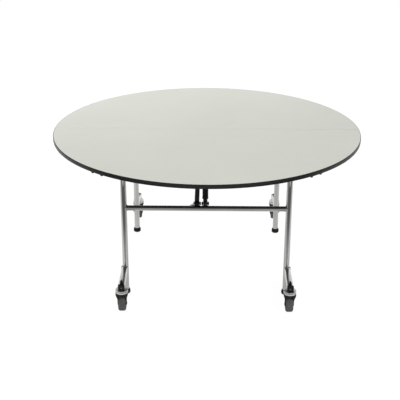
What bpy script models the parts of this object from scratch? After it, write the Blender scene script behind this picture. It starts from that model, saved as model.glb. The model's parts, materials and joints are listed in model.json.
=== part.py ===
"""Round folding table: two half tops, two wheeled leg frames and the folding linkage between them.

Metres, +Z up. The origin is on the floor under the middle of the top. X runs along the
centre seam, -Y is the front. The table stands open, at rest.
"""

import math

import bmesh
import bpy
from mathutils import Matrix, Vector

# Overall sizes
TOP_DIAMETER = 1.524
TOP_HEIGHT = 0.731
TOP_THICKNESS = 0.020
LEG_SPREAD_X = 0.392
LEG_SPREAD_Y = 0.365
CROSSBAR_HEIGHT = 0.4535
LEG_DIAMETER = 0.0286
CROSSBAR_DIAMETER = 0.0254

# Top
LAMINATE_THICKNESS = 0.0010
BAND_THICKNESS = 0.0025
SEAM_GAP = 0.0006

# Fits
FIT_GAP = 0.0003
RUNNING_GAP = 0.0005
SIDE_GAP = 0.0010

# Tubes and sheet
TUBE_WALL = 0.0018
PLATE = 0.0030
EAR_PLATE = 0.0040
LUG_PLATE = 0.0050

# Fold axes, measured down from the underside of the top
PIVOT_DROP = 0.026
HINGE_DROP = 0.056

# Leg pivots
LEG_OVERHANG = 0.010
PIVOT_PIN_RADIUS = 0.005
PIVOT_HEAD_RADIUS = 0.008
PIVOT_HEAD_LENGTH = 0.003
PIVOT_EYE_RADIUS = 0.012
BRACKET_HALF_X = 0.036
BRACKET_HALF_Y = 0.032
BRACKET_ROOT = 0.018

# Centre hinge
HINGE_ROD_RADIUS = 0.006
HINGE_ROD_INSET = 0.015
HINGE_EYE_RADIUS = 0.012
HINGE_INNER = 0.072
HINGE_END = 0.030
HINGE_STAGGER = 0.003
RAIL_HALF = 0.530
RAIL_NEAR = 0.008
RAIL_FAR = 0.062
LUG_INSET = 0.005

# Hanger between the links
HANGER_X = 0.062
HANGER_EYE_RADIUS = 0.012
HANGER_FOOT_RADIUS = 0.010
HANGER_PIN_RADIUS = 0.005
HANGER_TIE_HEIGHT = 0.030

# Struts on the crossbars
EYE_RISE = 0.0255
STRUT_PIN_RADIUS = 0.004
STRUT_HEAD_RADIUS = 0.007
STRUT_HEAD_LENGTH = 0.003
EAR_RADIUS = 0.009
EAR_ROOT = 0.010
EAR_ROOT_RISE = 0.006
LINK_X = 0.045
LINK_RADIUS = 0.011
LINK_EYE_RADIUS = 0.0115
LINK_EYE_WIDTH = 0.0225
SPRING_X = 0.005
ROD_RADIUS = 0.0092
ROD_EYE_RADIUS = 0.0100
ROD_EYE_WIDTH = 0.019
ROD_TIP_GAP = 0.012
CYLINDER_RADIUS = 0.014
CYLINDER_START = 0.026
CYLINDER_END = 0.016
CYLINDER_FLOOR = 0.016
BORE_RADIUS = 0.0100
TONGUE_HALF = 0.026
TONGUE_PAST = 0.030
SPRING_ROOT = 0.015

# Castor arms
ARM_SIDE = 0.030
ARM_HEIGHT = 0.133
ARM_REACH = 0.202
ARM_OUTSET = 0.004
CAP_OVERLAP = 0.0005
CAP_THICKNESS = 0.004
CAP_PLUG = 0.010
CAP_BEVEL = 0.0015

# Castors
CASTOR_REACH = 0.185
CASTOR_TRAIL = 0.010
WHEEL_RADIUS = 0.0375
WHEEL_WIDTH = 0.036
WHEEL_LIFT = 0.0005
TREAD_ROUND = 0.010
HUB_RADIUS = 0.0255
HUB_DISH = 0.0025
BOSS_RADIUS = 0.0085
AXLE_RADIUS = 0.004
AXLE_HEAD_RADIUS = 0.007
AXLE_HEAD_LENGTH = 0.0015
HEAD_RADIUS = 0.0295
HEAD_DEPTH = 0.0165
HEAD_PLATE = 0.0062
HEAD_GROOVE = 0.0024
HEAD_CHAMFER = 0.0010
NECK_RADIUS = 0.012
STEM_RADIUS = 0.005
STEM_OVER = 0.010
KING_RADIUS = 0.006
KING_LENGTH = 0.008
FORK_HALF_X = 0.0295
FORK_FRONT = 0.027
FORK_BACK = 0.029
FORK_CORNER = 0.016
FORK_CROWN = 0.006
FORK_SHEET = 0.003
FORK_EYE_RADIUS = 0.010
FORK_AXLE_HALF = 0.0211

# Feet
FOOT_RADIUS = 0.0203
FOOT_TOP_RADIUS = 0.0175
FOOT_SOLE_RADIUS = 0.0160
FOOT_WAIST = 0.009
FOOT_HEIGHT = 0.0225
FOOT_FLOOR = 0.006

# Rim buffers
BUFFER_ANGLE = math.radians(49.5)
BUFFER_INSET = 0.0145
BUFFER_SPACING = 0.057
BUFFER_RADIUS = 0.006
BUFFER_DEPTH = 0.010
BUFFER_BASE = 0.003
BUFFER_BASE_END = 0.009
BUFFER_BASE_HALF = 0.008

# Facets
RIM_SIDES = 96
TUBE_SIDES = 24
SMALL_SIDES = 16
WHEEL_SIDES = 24
ARC_STEPS = 6
CORNER_STEPS = 3

# Worked out from the sizes above
TOP_RADIUS = TOP_DIAMETER / 2
UNDERSIDE = TOP_HEIGHT - TOP_THICKNESS
PIVOT_Z = UNDERSIDE - PIVOT_DROP
HINGE_Z = UNDERSIDE - HINGE_DROP
EYE_Z = CROSSBAR_HEIGHT + EYE_RISE
LEVER = PIVOT_Z - EYE_Z
LINK_END_Z = HINGE_Z - LEVER
SPRING_Y = LEG_SPREAD_Y - LEVER
LEG_RADIUS = LEG_DIAMETER / 2
CROSSBAR_RADIUS = CROSSBAR_DIAMETER / 2
PLATE_TOP = UNDERSIDE - FIT_GAP
PLATE_BOTTOM = PLATE_TOP - PLATE
PLATE_MIDDLE = (PLATE_TOP + PLATE_BOTTOM) / 2
SPRING_LENGTH = LEVER * math.sqrt(2)
ROD_LENGTH = SPRING_LENGTH - CYLINDER_END - CYLINDER_FLOOR - ROD_TIP_GAP
ARM_X = LEG_SPREAD_X + ARM_OUTSET
ARM_BOTTOM = ARM_HEIGHT - ARM_SIDE / 2
ARM_TOP = ARM_HEIGHT + ARM_SIDE / 2
ARM_END = LEG_SPREAD_Y + ARM_REACH
SWIVEL_Y = LEG_SPREAD_Y + CASTOR_REACH
AXLE_Z = WHEEL_RADIUS + WHEEL_LIFT
HEAD_TOP = ARM_BOTTOM - CAP_OVERLAP - FIT_GAP
HEAD_BOTTOM = ARM_BOTTOM - HEAD_DEPTH
HINGE_OUTER = RAIL_HALF - HINGE_END
HINGE_SETS = (-HINGE_OUTER, -HINGE_INNER, HINGE_INNER, HINGE_OUTER)
HINGE_ROD_HALF = RAIL_HALF - HINGE_ROD_INSET
REACH = TOP_DIAMETER

SIDES = {"front": -1.0, "rear": 1.0}
HANDS = {"left": -1.0, "right": 1.0}

FINISHES = {
    "board": ((0.30, 0.23, 0.16), 0.0, 0.7),
    "laminate": ((0.68, 0.68, 0.63), 0.0, 0.4),
    "edging": ((0.015, 0.015, 0.016), 0.0, 0.35),
    "chrome": ((0.80, 0.80, 0.80), 1.0, 0.08),
    "black_steel": ((0.02, 0.02, 0.02), 0.6, 0.4),
    "rubber": ((0.03, 0.03, 0.03), 0.0, 0.8),
    "plastic": ((0.02, 0.02, 0.02), 0.0, 0.5),
    "tyre": ((0.10, 0.10, 0.10), 0.0, 0.7),
}

# Local X, Y, Z of a flat outline laid on the world's Y, Z, X
UPRIGHT = Matrix(((0.0, 0.0, 1.0, 0.0), (1.0, 0.0, 0.0, 0.0), (0.0, 1.0, 0.0, 0.0), (0.0, 0.0, 0.0, 1.0)))


def clear_scene():
    """Removes everything that the startup file holds."""
    for item in list(bpy.data.objects):
        bpy.data.objects.remove(item, do_unlink=True)


def new_collection(name):
    """A collection of this name, linked to the scene."""
    collection = bpy.data.collections.new(name)
    bpy.context.scene.collection.children.link(collection)
    return collection


clear_scene()
PARTS = new_collection("round_folding_table")
CUTTERS = new_collection("cutters")


def material(name, finish):
    """A material of its own for one piece."""
    colour, metallic, roughness = FINISHES[finish]
    made = bpy.data.materials.new(name)
    made.use_nodes = True
    shader = made.node_tree.nodes["Principled BSDF"]
    shader.inputs["Base Color"].default_value = (*colour, 1.0)
    shader.inputs["Metallic"].default_value = metallic
    shader.inputs["Roughness"].default_value = roughness
    made.diffuse_color = (*colour, 1.0)
    return made


def place(name, mesh, finish=None):
    """Links a mesh as a piece with its finish, or as a hidden helper without one."""
    piece = bpy.data.objects.new(name, mesh)
    if finish:
        PARTS.objects.link(piece)
        mesh.materials.append(material(name + "_finish", finish))
        return piece
    CUTTERS.objects.link(piece)
    piece.hide_render = True
    piece.display_type = "WIRE"
    return piece


def mesh_of(name, build):
    """A mesh filled in by a function that takes an empty bmesh."""
    mesh = bpy.data.meshes.new(name)
    work = bmesh.new()
    build(work)
    bmesh.ops.recalc_face_normals(work, faces=work.faces)
    work.to_mesh(mesh)
    work.free()
    return mesh


def box(name, low, high, finish=None):
    """A box between two corners."""
    low = Vector(low)
    high = Vector(high)
    size = high - low
    spread = Matrix.Diagonal((*size, 1.0))
    shift = Matrix.Translation((low + high) / 2)

    def build(work):
        bmesh.ops.create_cube(work, size=1.0, matrix=shift @ spread)

    return place(name, mesh_of(name, build), finish)


def bar(name, start, end, radius, finish=None, sides=TUBE_SIDES):
    """A round bar between two points, with a flat facet towards each quarter."""
    start = Vector(start)
    end = Vector(end)
    along = end - start
    turn = along.to_track_quat("Z", "Y").to_matrix().to_4x4()
    twist = Matrix.Rotation(math.pi / sides, 4, "Z")
    shift = Matrix.Translation((start + end) / 2)

    def build(work):
        bmesh.ops.create_cone(
            work,
            cap_ends=True,
            segments=sides,
            radius1=radius,
            radius2=radius,
            depth=along.length,
            matrix=shift @ turn @ twist,
        )

    return place(name, mesh_of(name, build), finish)


def plate(name, outline, thickness, matrix, finish=None):
    """A flat outline given a thickness, half to each side of its plane."""
    curve = bpy.data.curves.new(name, "CURVE")
    curve.dimensions = "2D"
    curve.fill_mode = "BOTH"
    curve.extrude = thickness / 2
    spline = curve.splines.new("POLY")
    spline.points.add(len(outline) - 1)
    for point, (across, up) in zip(spline.points, outline):
        point.co = (across, up, 0.0, 1.0)
    spline.use_cyclic_u = True
    guide = bpy.data.objects.new(name + "_guide", curve)
    CUTTERS.objects.link(guide)
    graph = bpy.context.evaluated_depsgraph_get()
    mesh = bpy.data.meshes.new_from_object(guide.evaluated_get(graph))
    bpy.data.objects.remove(guide, do_unlink=True)
    mesh.materials.clear()
    work = bmesh.new()
    work.from_mesh(mesh)
    bmesh.ops.remove_doubles(work, verts=work.verts, dist=FIT_GAP / ARC_STEPS)
    bmesh.ops.recalc_face_normals(work, faces=work.faces)
    work.transform(matrix)
    work.to_mesh(mesh)
    work.free()
    return place(name, mesh, finish)


def turned(name, profile, matrix, finish=None, sides=TUBE_SIDES, ring=False):
    """A profile of radius and height, spun round the local Z axis."""
    mesh = bpy.data.meshes.new(name)
    edges = [(index, index + 1) for index in range(len(profile) - 1)]
    if ring:
        edges.append((len(profile) - 1, 0))
    mesh.from_pydata([(radius, 0.0, height) for radius, height in profile], edges, [])
    piece = place(name, mesh, finish)
    piece.matrix_world = matrix
    spin = piece.modifiers.new("spin", "SCREW")
    spin.axis = "Z"
    spin.steps = sides
    spin.render_steps = sides
    spin.use_merge_vertices = True
    spin.merge_threshold = FIT_GAP / ARC_STEPS
    spin.use_smooth_shade = False
    return piece


def combine(target, tool, operation):
    """Adds a Boolean with a hidden helper."""
    step = target.modifiers.new(operation.lower() + "_" + tool.name, "BOOLEAN")
    step.operation = operation
    step.solver = "EXACT"
    step.object = tool


def cut(target, *tools):
    """Takes helpers away from a piece."""
    for tool in tools:
        combine(target, tool, "DIFFERENCE")


def join(target, *tools):
    """Adds helpers to a piece, as welded on."""
    for tool in tools:
        combine(target, tool, "UNION")


def tangents(corner, centre, radius):
    """Angles at which the two lines from a corner touch a circle."""
    away = Vector(corner) - Vector(centre)
    base = math.atan2(away.y, away.x)
    spread = math.acos(radius / away.length)
    return base - spread, base + spread


def arc(centre, radius, first, last):
    """Points along a circle, turning anticlockwise from the first angle to the last."""
    sweep = (last - first) % math.tau
    angles = [first + sweep * step / ARC_STEPS for step in range(ARC_STEPS + 1)]
    return [(centre[0] + radius * math.cos(a), centre[1] + radius * math.sin(a)) for a in angles]


def lug_outline(root_a, root_b, centre, radius):
    """A lug: a straight root above, drawn in to an eye below."""
    left, right = sorted((root_a, root_b))
    start = tangents(left, centre, radius)[1]
    end = tangents(right, centre, radius)[0]
    return [right, left] + arc(centre, radius, start, end)


def ear_outline(root_a, root_b, centre, radius):
    """An ear: a straight root below, drawn in to an eye above."""
    left, right = sorted((root_a, root_b))
    start = tangents(right, centre, radius)[1]
    end = tangents(left, centre, radius)[0]
    return [left, right] + arc(centre, radius, start, end)


def bar_outline(top, top_radius, foot, foot_radius):
    """A flat bar with a round end at each of two upright points."""
    reach = top[1] - foot[1]
    lean = math.asin((top_radius - foot_radius) / reach)
    upper = arc(top, top_radius, -lean, math.pi + lean)
    lower = arc(foot, foot_radius, math.pi + lean, math.tau - lean)
    return upper + lower


def rounded_outline(low, high, corner):
    """A rectangle with rounded corners."""
    quarter = math.pi / 2
    centres = (
        (high[0] - corner, high[1] - corner),
        (low[0] + corner, high[1] - corner),
        (low[0] + corner, low[1] + corner),
        (high[0] - corner, low[1] + corner),
    )
    points = []
    for turn, centre in enumerate(centres):
        for step in range(CORNER_STEPS + 1):
            angle = quarter * (turn + step / CORNER_STEPS)
            points.append((centre[0] + corner * math.cos(angle), centre[1] + corner * math.sin(angle)))
    return points


def upright(x):
    """The matrix that stands a flat outline in the Y-Z plane at this X."""
    return Matrix.Translation((x, 0.0, 0.0)) @ UPRIGHT


def cross_bar(name, x, half, y, z, radius, finish=None, sides=SMALL_SIDES):
    """A round bar along X, centred on x."""
    return bar(name, (x - half, y, z), (x + half, y, z), radius, finish, sides)


def half_disc(name, side, radius, low, high, finish):
    """A round slab cut off along the seam."""
    piece = bar(name, (0.0, 0.0, low), (0.0, 0.0, high), radius, finish, RIM_SIDES)
    edge = -side * REACH
    near = side * SEAM_GAP / 2
    first, last = sorted((edge, near))
    cut(piece, box(name + "_seam", (-REACH, first, -REACH), (REACH, last, REACH)))
    return piece


def build_top(label, side):
    """The core, laminate and edge band of one half of the top."""
    inner = TOP_RADIUS - BAND_THICKNESS - FIT_GAP
    laminate_low = TOP_HEIGHT - LAMINATE_THICKNESS
    half_disc(label + "_top_core", side, inner, UNDERSIDE, laminate_low - FIT_GAP, "board")
    half_disc(label + "_top_laminate", side, inner, laminate_low, TOP_HEIGHT, "laminate")
    name = label + "_edge_band"
    band = half_disc(name, side, TOP_RADIUS, UNDERSIDE, TOP_HEIGHT, "edging")
    hollow = TOP_RADIUS - BAND_THICKNESS
    cut(band, bar(name + "_hollow", (0.0, 0.0, 0.0), (0.0, 0.0, REACH), hollow, None, RIM_SIDES))


def build_leg(label, x, y):
    """One leg tube, drilled across its top for the pivot pin."""
    low = FOOT_FLOOR + FIT_GAP
    high = PIVOT_Z + LEG_OVERHANG
    leg = bar(label + "_leg", (x, y, low), (x, y, high), LEG_RADIUS, "chrome")
    bore = bar(label + "_leg_bore", (x, y, -REACH), (x, y, REACH), LEG_RADIUS - TUBE_WALL)
    hole = cross_bar(label + "_leg_hole", x, LEG_DIAMETER, y, PIVOT_Z, PIVOT_PIN_RADIUS + FIT_GAP)
    cut(leg, bore, hole)


def build_foot(label, x, y):
    """The rubber cup that a leg stands in."""
    hole = LEG_RADIUS + FIT_GAP
    swell = FOOT_RADIUS - FOOT_SOLE_RADIUS
    profile = [
        (0.0, FOOT_FLOOR),
        (hole, FOOT_FLOOR),
        (hole, FOOT_HEIGHT),
        (FOOT_TOP_RADIUS, FOOT_HEIGHT),
        (FOOT_RADIUS, FOOT_WAIST),
    ]
    for step in range(1, CORNER_STEPS + 1):
        angle = math.pi / 2 * step / CORNER_STEPS
        across = FOOT_SOLE_RADIUS + swell * math.cos(angle)
        profile.append((across, FOOT_WAIST * (1 - math.sin(angle))))
    profile.append((0.0, 0.0))
    turned(label + "_foot", profile, Matrix.Translation((x, y, 0.0)), "rubber")


def build_leg_pivot(label, x, y):
    """The bracket under the top that a leg turns in, and its pin."""
    name = label + "_pivot_bracket"
    low = (x - BRACKET_HALF_X, y - BRACKET_HALF_Y, PLATE_BOTTOM)
    high = (x + BRACKET_HALF_X, y + BRACKET_HALF_Y, PLATE_TOP)
    bracket = box(name, low, high, "black_steel")
    outline = lug_outline(
        (y - BRACKET_ROOT, PLATE_MIDDLE), (y + BRACKET_ROOT, PLATE_MIDDLE), (y, PIVOT_Z), PIVOT_EYE_RADIUS
    )
    inner = LEG_RADIUS + SIDE_GAP
    for hand, toward in HANDS.items():
        middle = x + toward * (inner + EAR_PLATE / 2)
        join(bracket, plate(name + "_" + hand, outline, EAR_PLATE, upright(middle)))
    reach = inner + EAR_PLATE
    cut(bracket, cross_bar(name + "_hole", x, LEG_DIAMETER, y, PIVOT_Z, PIVOT_PIN_RADIUS + FIT_GAP))
    half = reach + RUNNING_GAP + PIVOT_HEAD_LENGTH
    pin = cross_bar(label + "_pivot_pin", x, half - SIDE_GAP, y, PIVOT_Z, PIVOT_PIN_RADIUS, "black_steel")
    for hand, toward in HANDS.items():
        near = x + toward * (reach + RUNNING_GAP)
        far = x + toward * half
        head = label + "_pivot_head_" + hand
        join(pin, bar(head, (near, y, PIVOT_Z), (far, y, PIVOT_Z), PIVOT_HEAD_RADIUS, None, SMALL_SIDES))


def clevis(target, name, x, width, outline, y, z, core=None):
    """Welds a pair of ears and their cross pin to a piece, the ears shaped to a round core if it has one."""
    inner = width / 2 + SIDE_GAP
    for hand, toward in HANDS.items():
        middle = x + toward * (inner + EAR_PLATE / 2)
        ear = plate(name + "_ear_" + hand, outline, EAR_PLATE, upright(middle))
        if core:
            cut(ear, core)
        join(target, ear)
    half = inner + EAR_PLATE + STRUT_HEAD_LENGTH
    join(target, cross_bar(name + "_pin", x, half - SIDE_GAP, y, z, STRUT_PIN_RADIUS))
    for hand, toward in HANDS.items():
        near = x + toward * (inner + EAR_PLATE / 2)
        far = x + toward * half
        head = bar(name + "_head_" + hand, (near, y, z), (far, y, z), STRUT_HEAD_RADIUS, None, SMALL_SIDES)
        join(target, head)


def build_crossbar(label, side):
    """The tube between two legs, with the clevises of the link and the spring."""
    y = side * LEG_SPREAD_Y
    z = CROSSBAR_HEIGHT
    name = label + "_crossbar"
    tube = cross_bar(name, 0.0, LEG_SPREAD_X, y, z, CROSSBAR_RADIUS, "chrome", TUBE_SIDES)
    root = z + EAR_ROOT_RISE
    outline = ear_outline((y - EAR_ROOT, root), (y + EAR_ROOT, root), (y, EYE_Z), EAR_RADIUS)
    for hand, toward in HANDS.items():
        x = toward * LEG_SPREAD_X
        cut(tube, bar(name + "_" + hand, (x, y, 0.0), (x, y, TOP_HEIGHT), LEG_RADIUS + FIT_GAP))
    cut(tube, cross_bar(name + "_bore", 0.0, REACH, y, z, CROSSBAR_RADIUS - TUBE_WALL, None, TUBE_SIDES))
    core = cross_bar(name + "_core", 0.0, REACH, y, z, CROSSBAR_RADIUS - TUBE_WALL / 2, None, TUBE_SIDES)
    clevis(tube, name + "_link", side * LINK_X, LINK_EYE_WIDTH, outline, y, EYE_Z, core)
    clevis(tube, name + "_spring", side * SPRING_X, ROD_EYE_WIDTH, outline, y, EYE_Z, core)


def build_link(label, side):
    """The bar from a crossbar to the hanger in the middle."""
    x = side * LINK_X
    start = Vector((x, side * LEG_SPREAD_Y, EYE_Z))
    end = Vector((x, 0.0, LINK_END_Z))
    link = bar(label + "_link", start, end, LINK_RADIUS, "black_steel", SMALL_SIDES)
    half = LINK_EYE_WIDTH / 2
    for point, pin in ((start, STRUT_PIN_RADIUS), (end, HANGER_PIN_RADIUS)):
        name = label + "_link_eye_" + str(int(point is end))
        join(link, cross_bar(name, x, half, point.y, point.z, LINK_EYE_RADIUS))
        cut(link, cross_bar(name + "_hole", x, LINK_EYE_WIDTH, point.y, point.z, pin + RUNNING_GAP))


def build_spring(label, side):
    """The gas spring: its rod on the crossbar and its cylinder under the top."""
    x = side * SPRING_X
    low = Vector((x, side * LEG_SPREAD_Y, EYE_Z))
    high = Vector((x, side * SPRING_Y, PIVOT_Z))
    along = (high - low).normalized()
    half = ROD_EYE_WIDTH / 2
    hole = STRUT_PIN_RADIUS + RUNNING_GAP
    rod = bar(label + "_spring_rod", low, low + along * ROD_LENGTH, ROD_RADIUS, "black_steel", SMALL_SIDES)
    join(rod, cross_bar(label + "_rod_eye", x, half, low.y, low.z, ROD_EYE_RADIUS))
    cut(rod, cross_bar(label + "_rod_hole", x, ROD_EYE_WIDTH, low.y, low.z, hole))
    name = label + "_spring_cylinder"
    body_end = high - along * CYLINDER_END
    cylinder = bar(name, low + along * CYLINDER_START, body_end, CYLINDER_RADIUS, "black_steel")
    join(cylinder, bar(name + "_neck", body_end - along * ROD_RADIUS, high, ROD_RADIUS, None, SMALL_SIDES))
    join(cylinder, cross_bar(name + "_eye", x, half, high.y, high.z, ROD_EYE_RADIUS))
    cut(cylinder, cross_bar(name + "_hole", x, ROD_EYE_WIDTH, high.y, high.z, hole))
    floor = body_end - along * CYLINDER_FLOOR
    cut(cylinder, bar(name + "_bore", low, floor, BORE_RADIUS, None, SMALL_SIDES))


def build_hinge_rail(label, side):
    """The rail along the seam under one half, with its hinge lugs and spring clevis."""
    name = label + "_hinge_rail"
    near, far = sorted((side * RAIL_NEAR, side * RAIL_FAR))
    rail = box(name, (-RAIL_HALF, near, PLATE_BOTTOM), (RAIL_HALF, far, PLATE_TOP), "black_steel")
    inner = side * (RAIL_FAR - RAIL_NEAR)
    outer = side * (SPRING_Y + TONGUE_PAST)
    near, far = sorted((inner, outer))
    join(rail, box(name + "_tongue", (-TONGUE_HALF, near, PLATE_BOTTOM), (TONGUE_HALF, far, PLATE_TOP)))
    first = (side * (RAIL_NEAR + LUG_INSET), PLATE_MIDDLE)
    last = (side * (RAIL_FAR - LUG_INSET), PLATE_MIDDLE)
    outline = lug_outline(first, last, (0.0, HINGE_Z), HINGE_EYE_RADIUS)
    for index, middle in enumerate(HINGE_SETS):
        x = middle + side * HINGE_STAGGER
        join(rail, plate(name + "_lug_" + str(index), outline, LUG_PLATE, upright(x)))
    y = side * SPRING_Y
    outline = lug_outline(
        (y - SPRING_ROOT, PLATE_MIDDLE), (y + SPRING_ROOT, PLATE_MIDDLE), (y, PIVOT_Z), EAR_RADIUS
    )
    clevis(rail, name + "_spring", side * SPRING_X, ROD_EYE_WIDTH, outline, y, PIVOT_Z)
    cut(rail, cross_bar(name + "_hole", 0.0, RAIL_HALF, 0.0, HINGE_Z, HINGE_ROD_RADIUS + FIT_GAP))


def build_hanger():
    """The yoke that hangs from the hinge rod and carries both links."""
    name = "centre_hanger"
    outline = bar_outline((0.0, HINGE_Z), HANGER_EYE_RADIUS, (0.0, LINK_END_Z), HANGER_FOOT_RADIUS)
    hanger = plate(name, outline, LUG_PLATE, upright(-HANGER_X), "black_steel")
    join(hanger, plate(name + "_other", outline, LUG_PLATE, upright(HANGER_X)))
    middle = (HINGE_Z + LINK_END_Z) / 2
    half = HANGER_TIE_HEIGHT / 2
    low = (-HANGER_X, -PLATE / 2, middle - half)
    high = (HANGER_X, PLATE / 2, middle + half)
    join(hanger, box(name + "_tie", low, high))
    join(hanger, cross_bar(name + "_pin", 0.0, HANGER_X + LUG_PLATE, 0.0, LINK_END_Z, HANGER_PIN_RADIUS))
    cut(hanger, cross_bar(name + "_hole", 0.0, RAIL_HALF, 0.0, HINGE_Z, HINGE_ROD_RADIUS + FIT_GAP))


def build_arm(label, hand, side):
    """The square tube that holds a castor out from its leg, and its end cap."""
    x = hand * ARM_X
    y = side * LEG_SPREAD_Y
    end = side * ARM_END
    half = ARM_SIDE / 2
    near, far = sorted((y, end))
    name = label + "_castor_arm"
    arm = box(name, (x - half, near, ARM_BOTTOM), (x + half, far, ARM_TOP), "chrome")
    hollow = half - TUBE_WALL
    low = (x - hollow, near - REACH, ARM_HEIGHT - hollow)
    high = (x + hollow, far + REACH, ARM_HEIGHT + hollow)
    stem = side * SWIVEL_Y
    leg_x = hand * LEG_SPREAD_X
    cut(
        arm,
        box(name + "_bore", low, high),
        bar(name + "_leg", (leg_x, y, 0.0), (leg_x, y, TOP_HEIGHT), LEG_RADIUS + FIT_GAP),
        bar(name + "_hole", (x, stem, 0.0), (x, stem, TOP_HEIGHT), STEM_RADIUS + FIT_GAP, None, SMALL_SIDES),
    )
    cap_name = label + "_arm_cap"
    wide = half + CAP_OVERLAP
    first, last = sorted((end + side * FIT_GAP, end + side * (FIT_GAP + CAP_THICKNESS)))
    cap_low = (x - wide, first, ARM_HEIGHT - wide)
    cap_high = (x + wide, last, ARM_HEIGHT + wide)
    cap = box(cap_name, cap_low, cap_high, "plastic")
    soften = cap.modifiers.new("soften", "BEVEL")
    soften.width = CAP_BEVEL
    soften.segments = 1
    plug = hollow - FIT_GAP
    first, last = sorted((end - side * CAP_PLUG, end + side * (FIT_GAP + CAP_THICKNESS / 2)))
    plug_low = (x - plug, first, ARM_HEIGHT - plug)
    plug_high = (x + plug, last, ARM_HEIGHT + plug)
    join(cap, box(cap_name + "_plug", plug_low, plug_high))


def build_castor(label, x, y):
    """One swivel castor: the head on the arm, the fork and the wheel."""
    plate_low = HEAD_TOP - HEAD_PLATE
    race_top = plate_low - HEAD_GROOVE
    profile = [
        (0.0, ARM_TOP + STEM_OVER),
        (STEM_RADIUS, ARM_TOP + STEM_OVER),
        (STEM_RADIUS, ARM_BOTTOM - FIT_GAP),
        (NECK_RADIUS, ARM_BOTTOM - FIT_GAP),
        (NECK_RADIUS, HEAD_TOP),
        (HEAD_RADIUS - HEAD_CHAMFER, HEAD_TOP),
        (HEAD_RADIUS, HEAD_TOP - HEAD_CHAMFER),
        (HEAD_RADIUS, plate_low),
        (HEAD_RADIUS - HEAD_GROOVE, plate_low),
        (HEAD_RADIUS - HEAD_GROOVE, race_top),
        (HEAD_RADIUS, race_top),
        (HEAD_RADIUS, HEAD_BOTTOM + HEAD_CHAMFER),
        (HEAD_RADIUS - HEAD_CHAMFER, HEAD_BOTTOM),
        (KING_RADIUS, HEAD_BOTTOM),
        (KING_RADIUS, HEAD_BOTTOM - KING_LENGTH),
        (0.0, HEAD_BOTTOM - KING_LENGTH),
    ]
    turned(label + "_castor_head", profile, Matrix.Translation((x, y, 0.0)), "chrome")
    build_fork(label, x, y)
    build_wheel(label, x, y + CASTOR_TRAIL)


def build_fork(label, x, y):
    """The fork with its riveted axle."""
    name = label + "_castor_fork"
    crown_top = HEAD_BOTTOM - RUNNING_GAP
    crown = rounded_outline((-FORK_HALF_X, -FORK_FRONT), (FORK_HALF_X, FORK_BACK), FORK_CORNER)
    crown_middle = crown_top - FORK_CROWN / 2
    fork = plate(name, crown, FORK_CROWN, Matrix.Translation((x, y, crown_middle)), "black_steel")
    axle = y + CASTOR_TRAIL
    drop = crown_middle - AXLE_Z
    top_half = FORK_HALF_X - FORK_SHEET
    lean = math.atan2(top_half - FORK_AXLE_HALF, drop)
    outline = lug_outline(
        (y - FORK_FRONT + FORK_CORNER, crown_middle),
        (y + FORK_BACK - FORK_CORNER, crown_middle),
        (axle, AXLE_Z),
        FORK_EYE_RADIUS,
    )
    for hand, toward in HANDS.items():
        hang = Vector((x + toward * top_half, y, crown_middle))
        about = Matrix.Translation(hang) @ Matrix.Rotation(toward * lean, 4, "Y") @ Matrix.Translation(-hang)
        join(fork, plate(name + "_" + hand, outline, FORK_SHEET, about @ upright(hang.x)))
    half = FORK_AXLE_HALF + FORK_SHEET / 2 + AXLE_HEAD_LENGTH
    join(fork, cross_bar(name + "_axle", x, half - SIDE_GAP, axle, AXLE_Z, AXLE_RADIUS))
    for hand, toward in HANDS.items():
        near = x + toward * FORK_AXLE_HALF
        far = x + toward * half
        head = name + "_rivet_" + hand
        join(fork, bar(head, (near, axle, AXLE_Z), (far, axle, AXLE_Z), AXLE_HEAD_RADIUS, None, SMALL_SIDES))
    king = KING_RADIUS + RUNNING_GAP
    cut(fork, bar(name + "_king", (x, y, crown_top - KING_LENGTH), (x, y, HEAD_TOP), king, None, SMALL_SIDES))


def build_wheel(label, x, y):
    """The wheel: a tyre moulded on a dished hub."""
    half = WHEEL_WIDTH / 2
    bore = AXLE_RADIUS + RUNNING_GAP
    upper = [
        (bore, half),
        (BOSS_RADIUS, half),
        (BOSS_RADIUS, half - HUB_DISH),
        (HUB_RADIUS, half - HUB_DISH),
        (HUB_RADIUS, half),
        (WHEEL_RADIUS - TREAD_ROUND, half),
    ]
    quarter = math.pi / 2
    for step in range(1, CORNER_STEPS):
        angle = quarter * (1 - step / CORNER_STEPS)
        across = WHEEL_RADIUS - TREAD_ROUND * (1 - math.cos(angle))
        upper.append((across, half - TREAD_ROUND * (1 - math.sin(angle))))
    upper.append((WHEEL_RADIUS, half - TREAD_ROUND))
    lower = [(radius, -height) for radius, height in reversed(upper)]
    lay = Matrix.Translation((x, y, AXLE_Z)) @ Matrix.Rotation(quarter, 4, "Y")
    turned(label + "_wheel", upper + lower, lay, "tyre", WHEEL_SIDES, True)


def build_buffer(label, hand, side):
    """A rubber strip with two round feet, under the top close to the rim."""
    radius = TOP_RADIUS - BUFFER_INSET
    angle = math.atan2(side * math.sin(BUFFER_ANGLE), hand * math.cos(BUFFER_ANGLE))
    turn = Matrix.Rotation(angle, 4, "Z")
    half = BUFFER_SPACING / 2
    low = (radius - BUFFER_BASE_HALF, -half - BUFFER_BASE_END, PLATE_TOP - BUFFER_BASE)
    high = (radius + BUFFER_BASE_HALF, half + BUFFER_BASE_END, PLATE_TOP)
    strip = box(label + "_rim_buffer", low, high, "rubber")
    strip.data.transform(turn)
    for index, shift in enumerate((-half, half)):
        foot = turn @ Vector((radius, shift, PLATE_TOP - BUFFER_DEPTH))
        root = turn @ Vector((radius, shift, PLATE_TOP - BUFFER_BASE / 2))
        join(strip, bar(label + "_buffer_" + str(index), foot, root, BUFFER_RADIUS, None, SMALL_SIDES))


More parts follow.
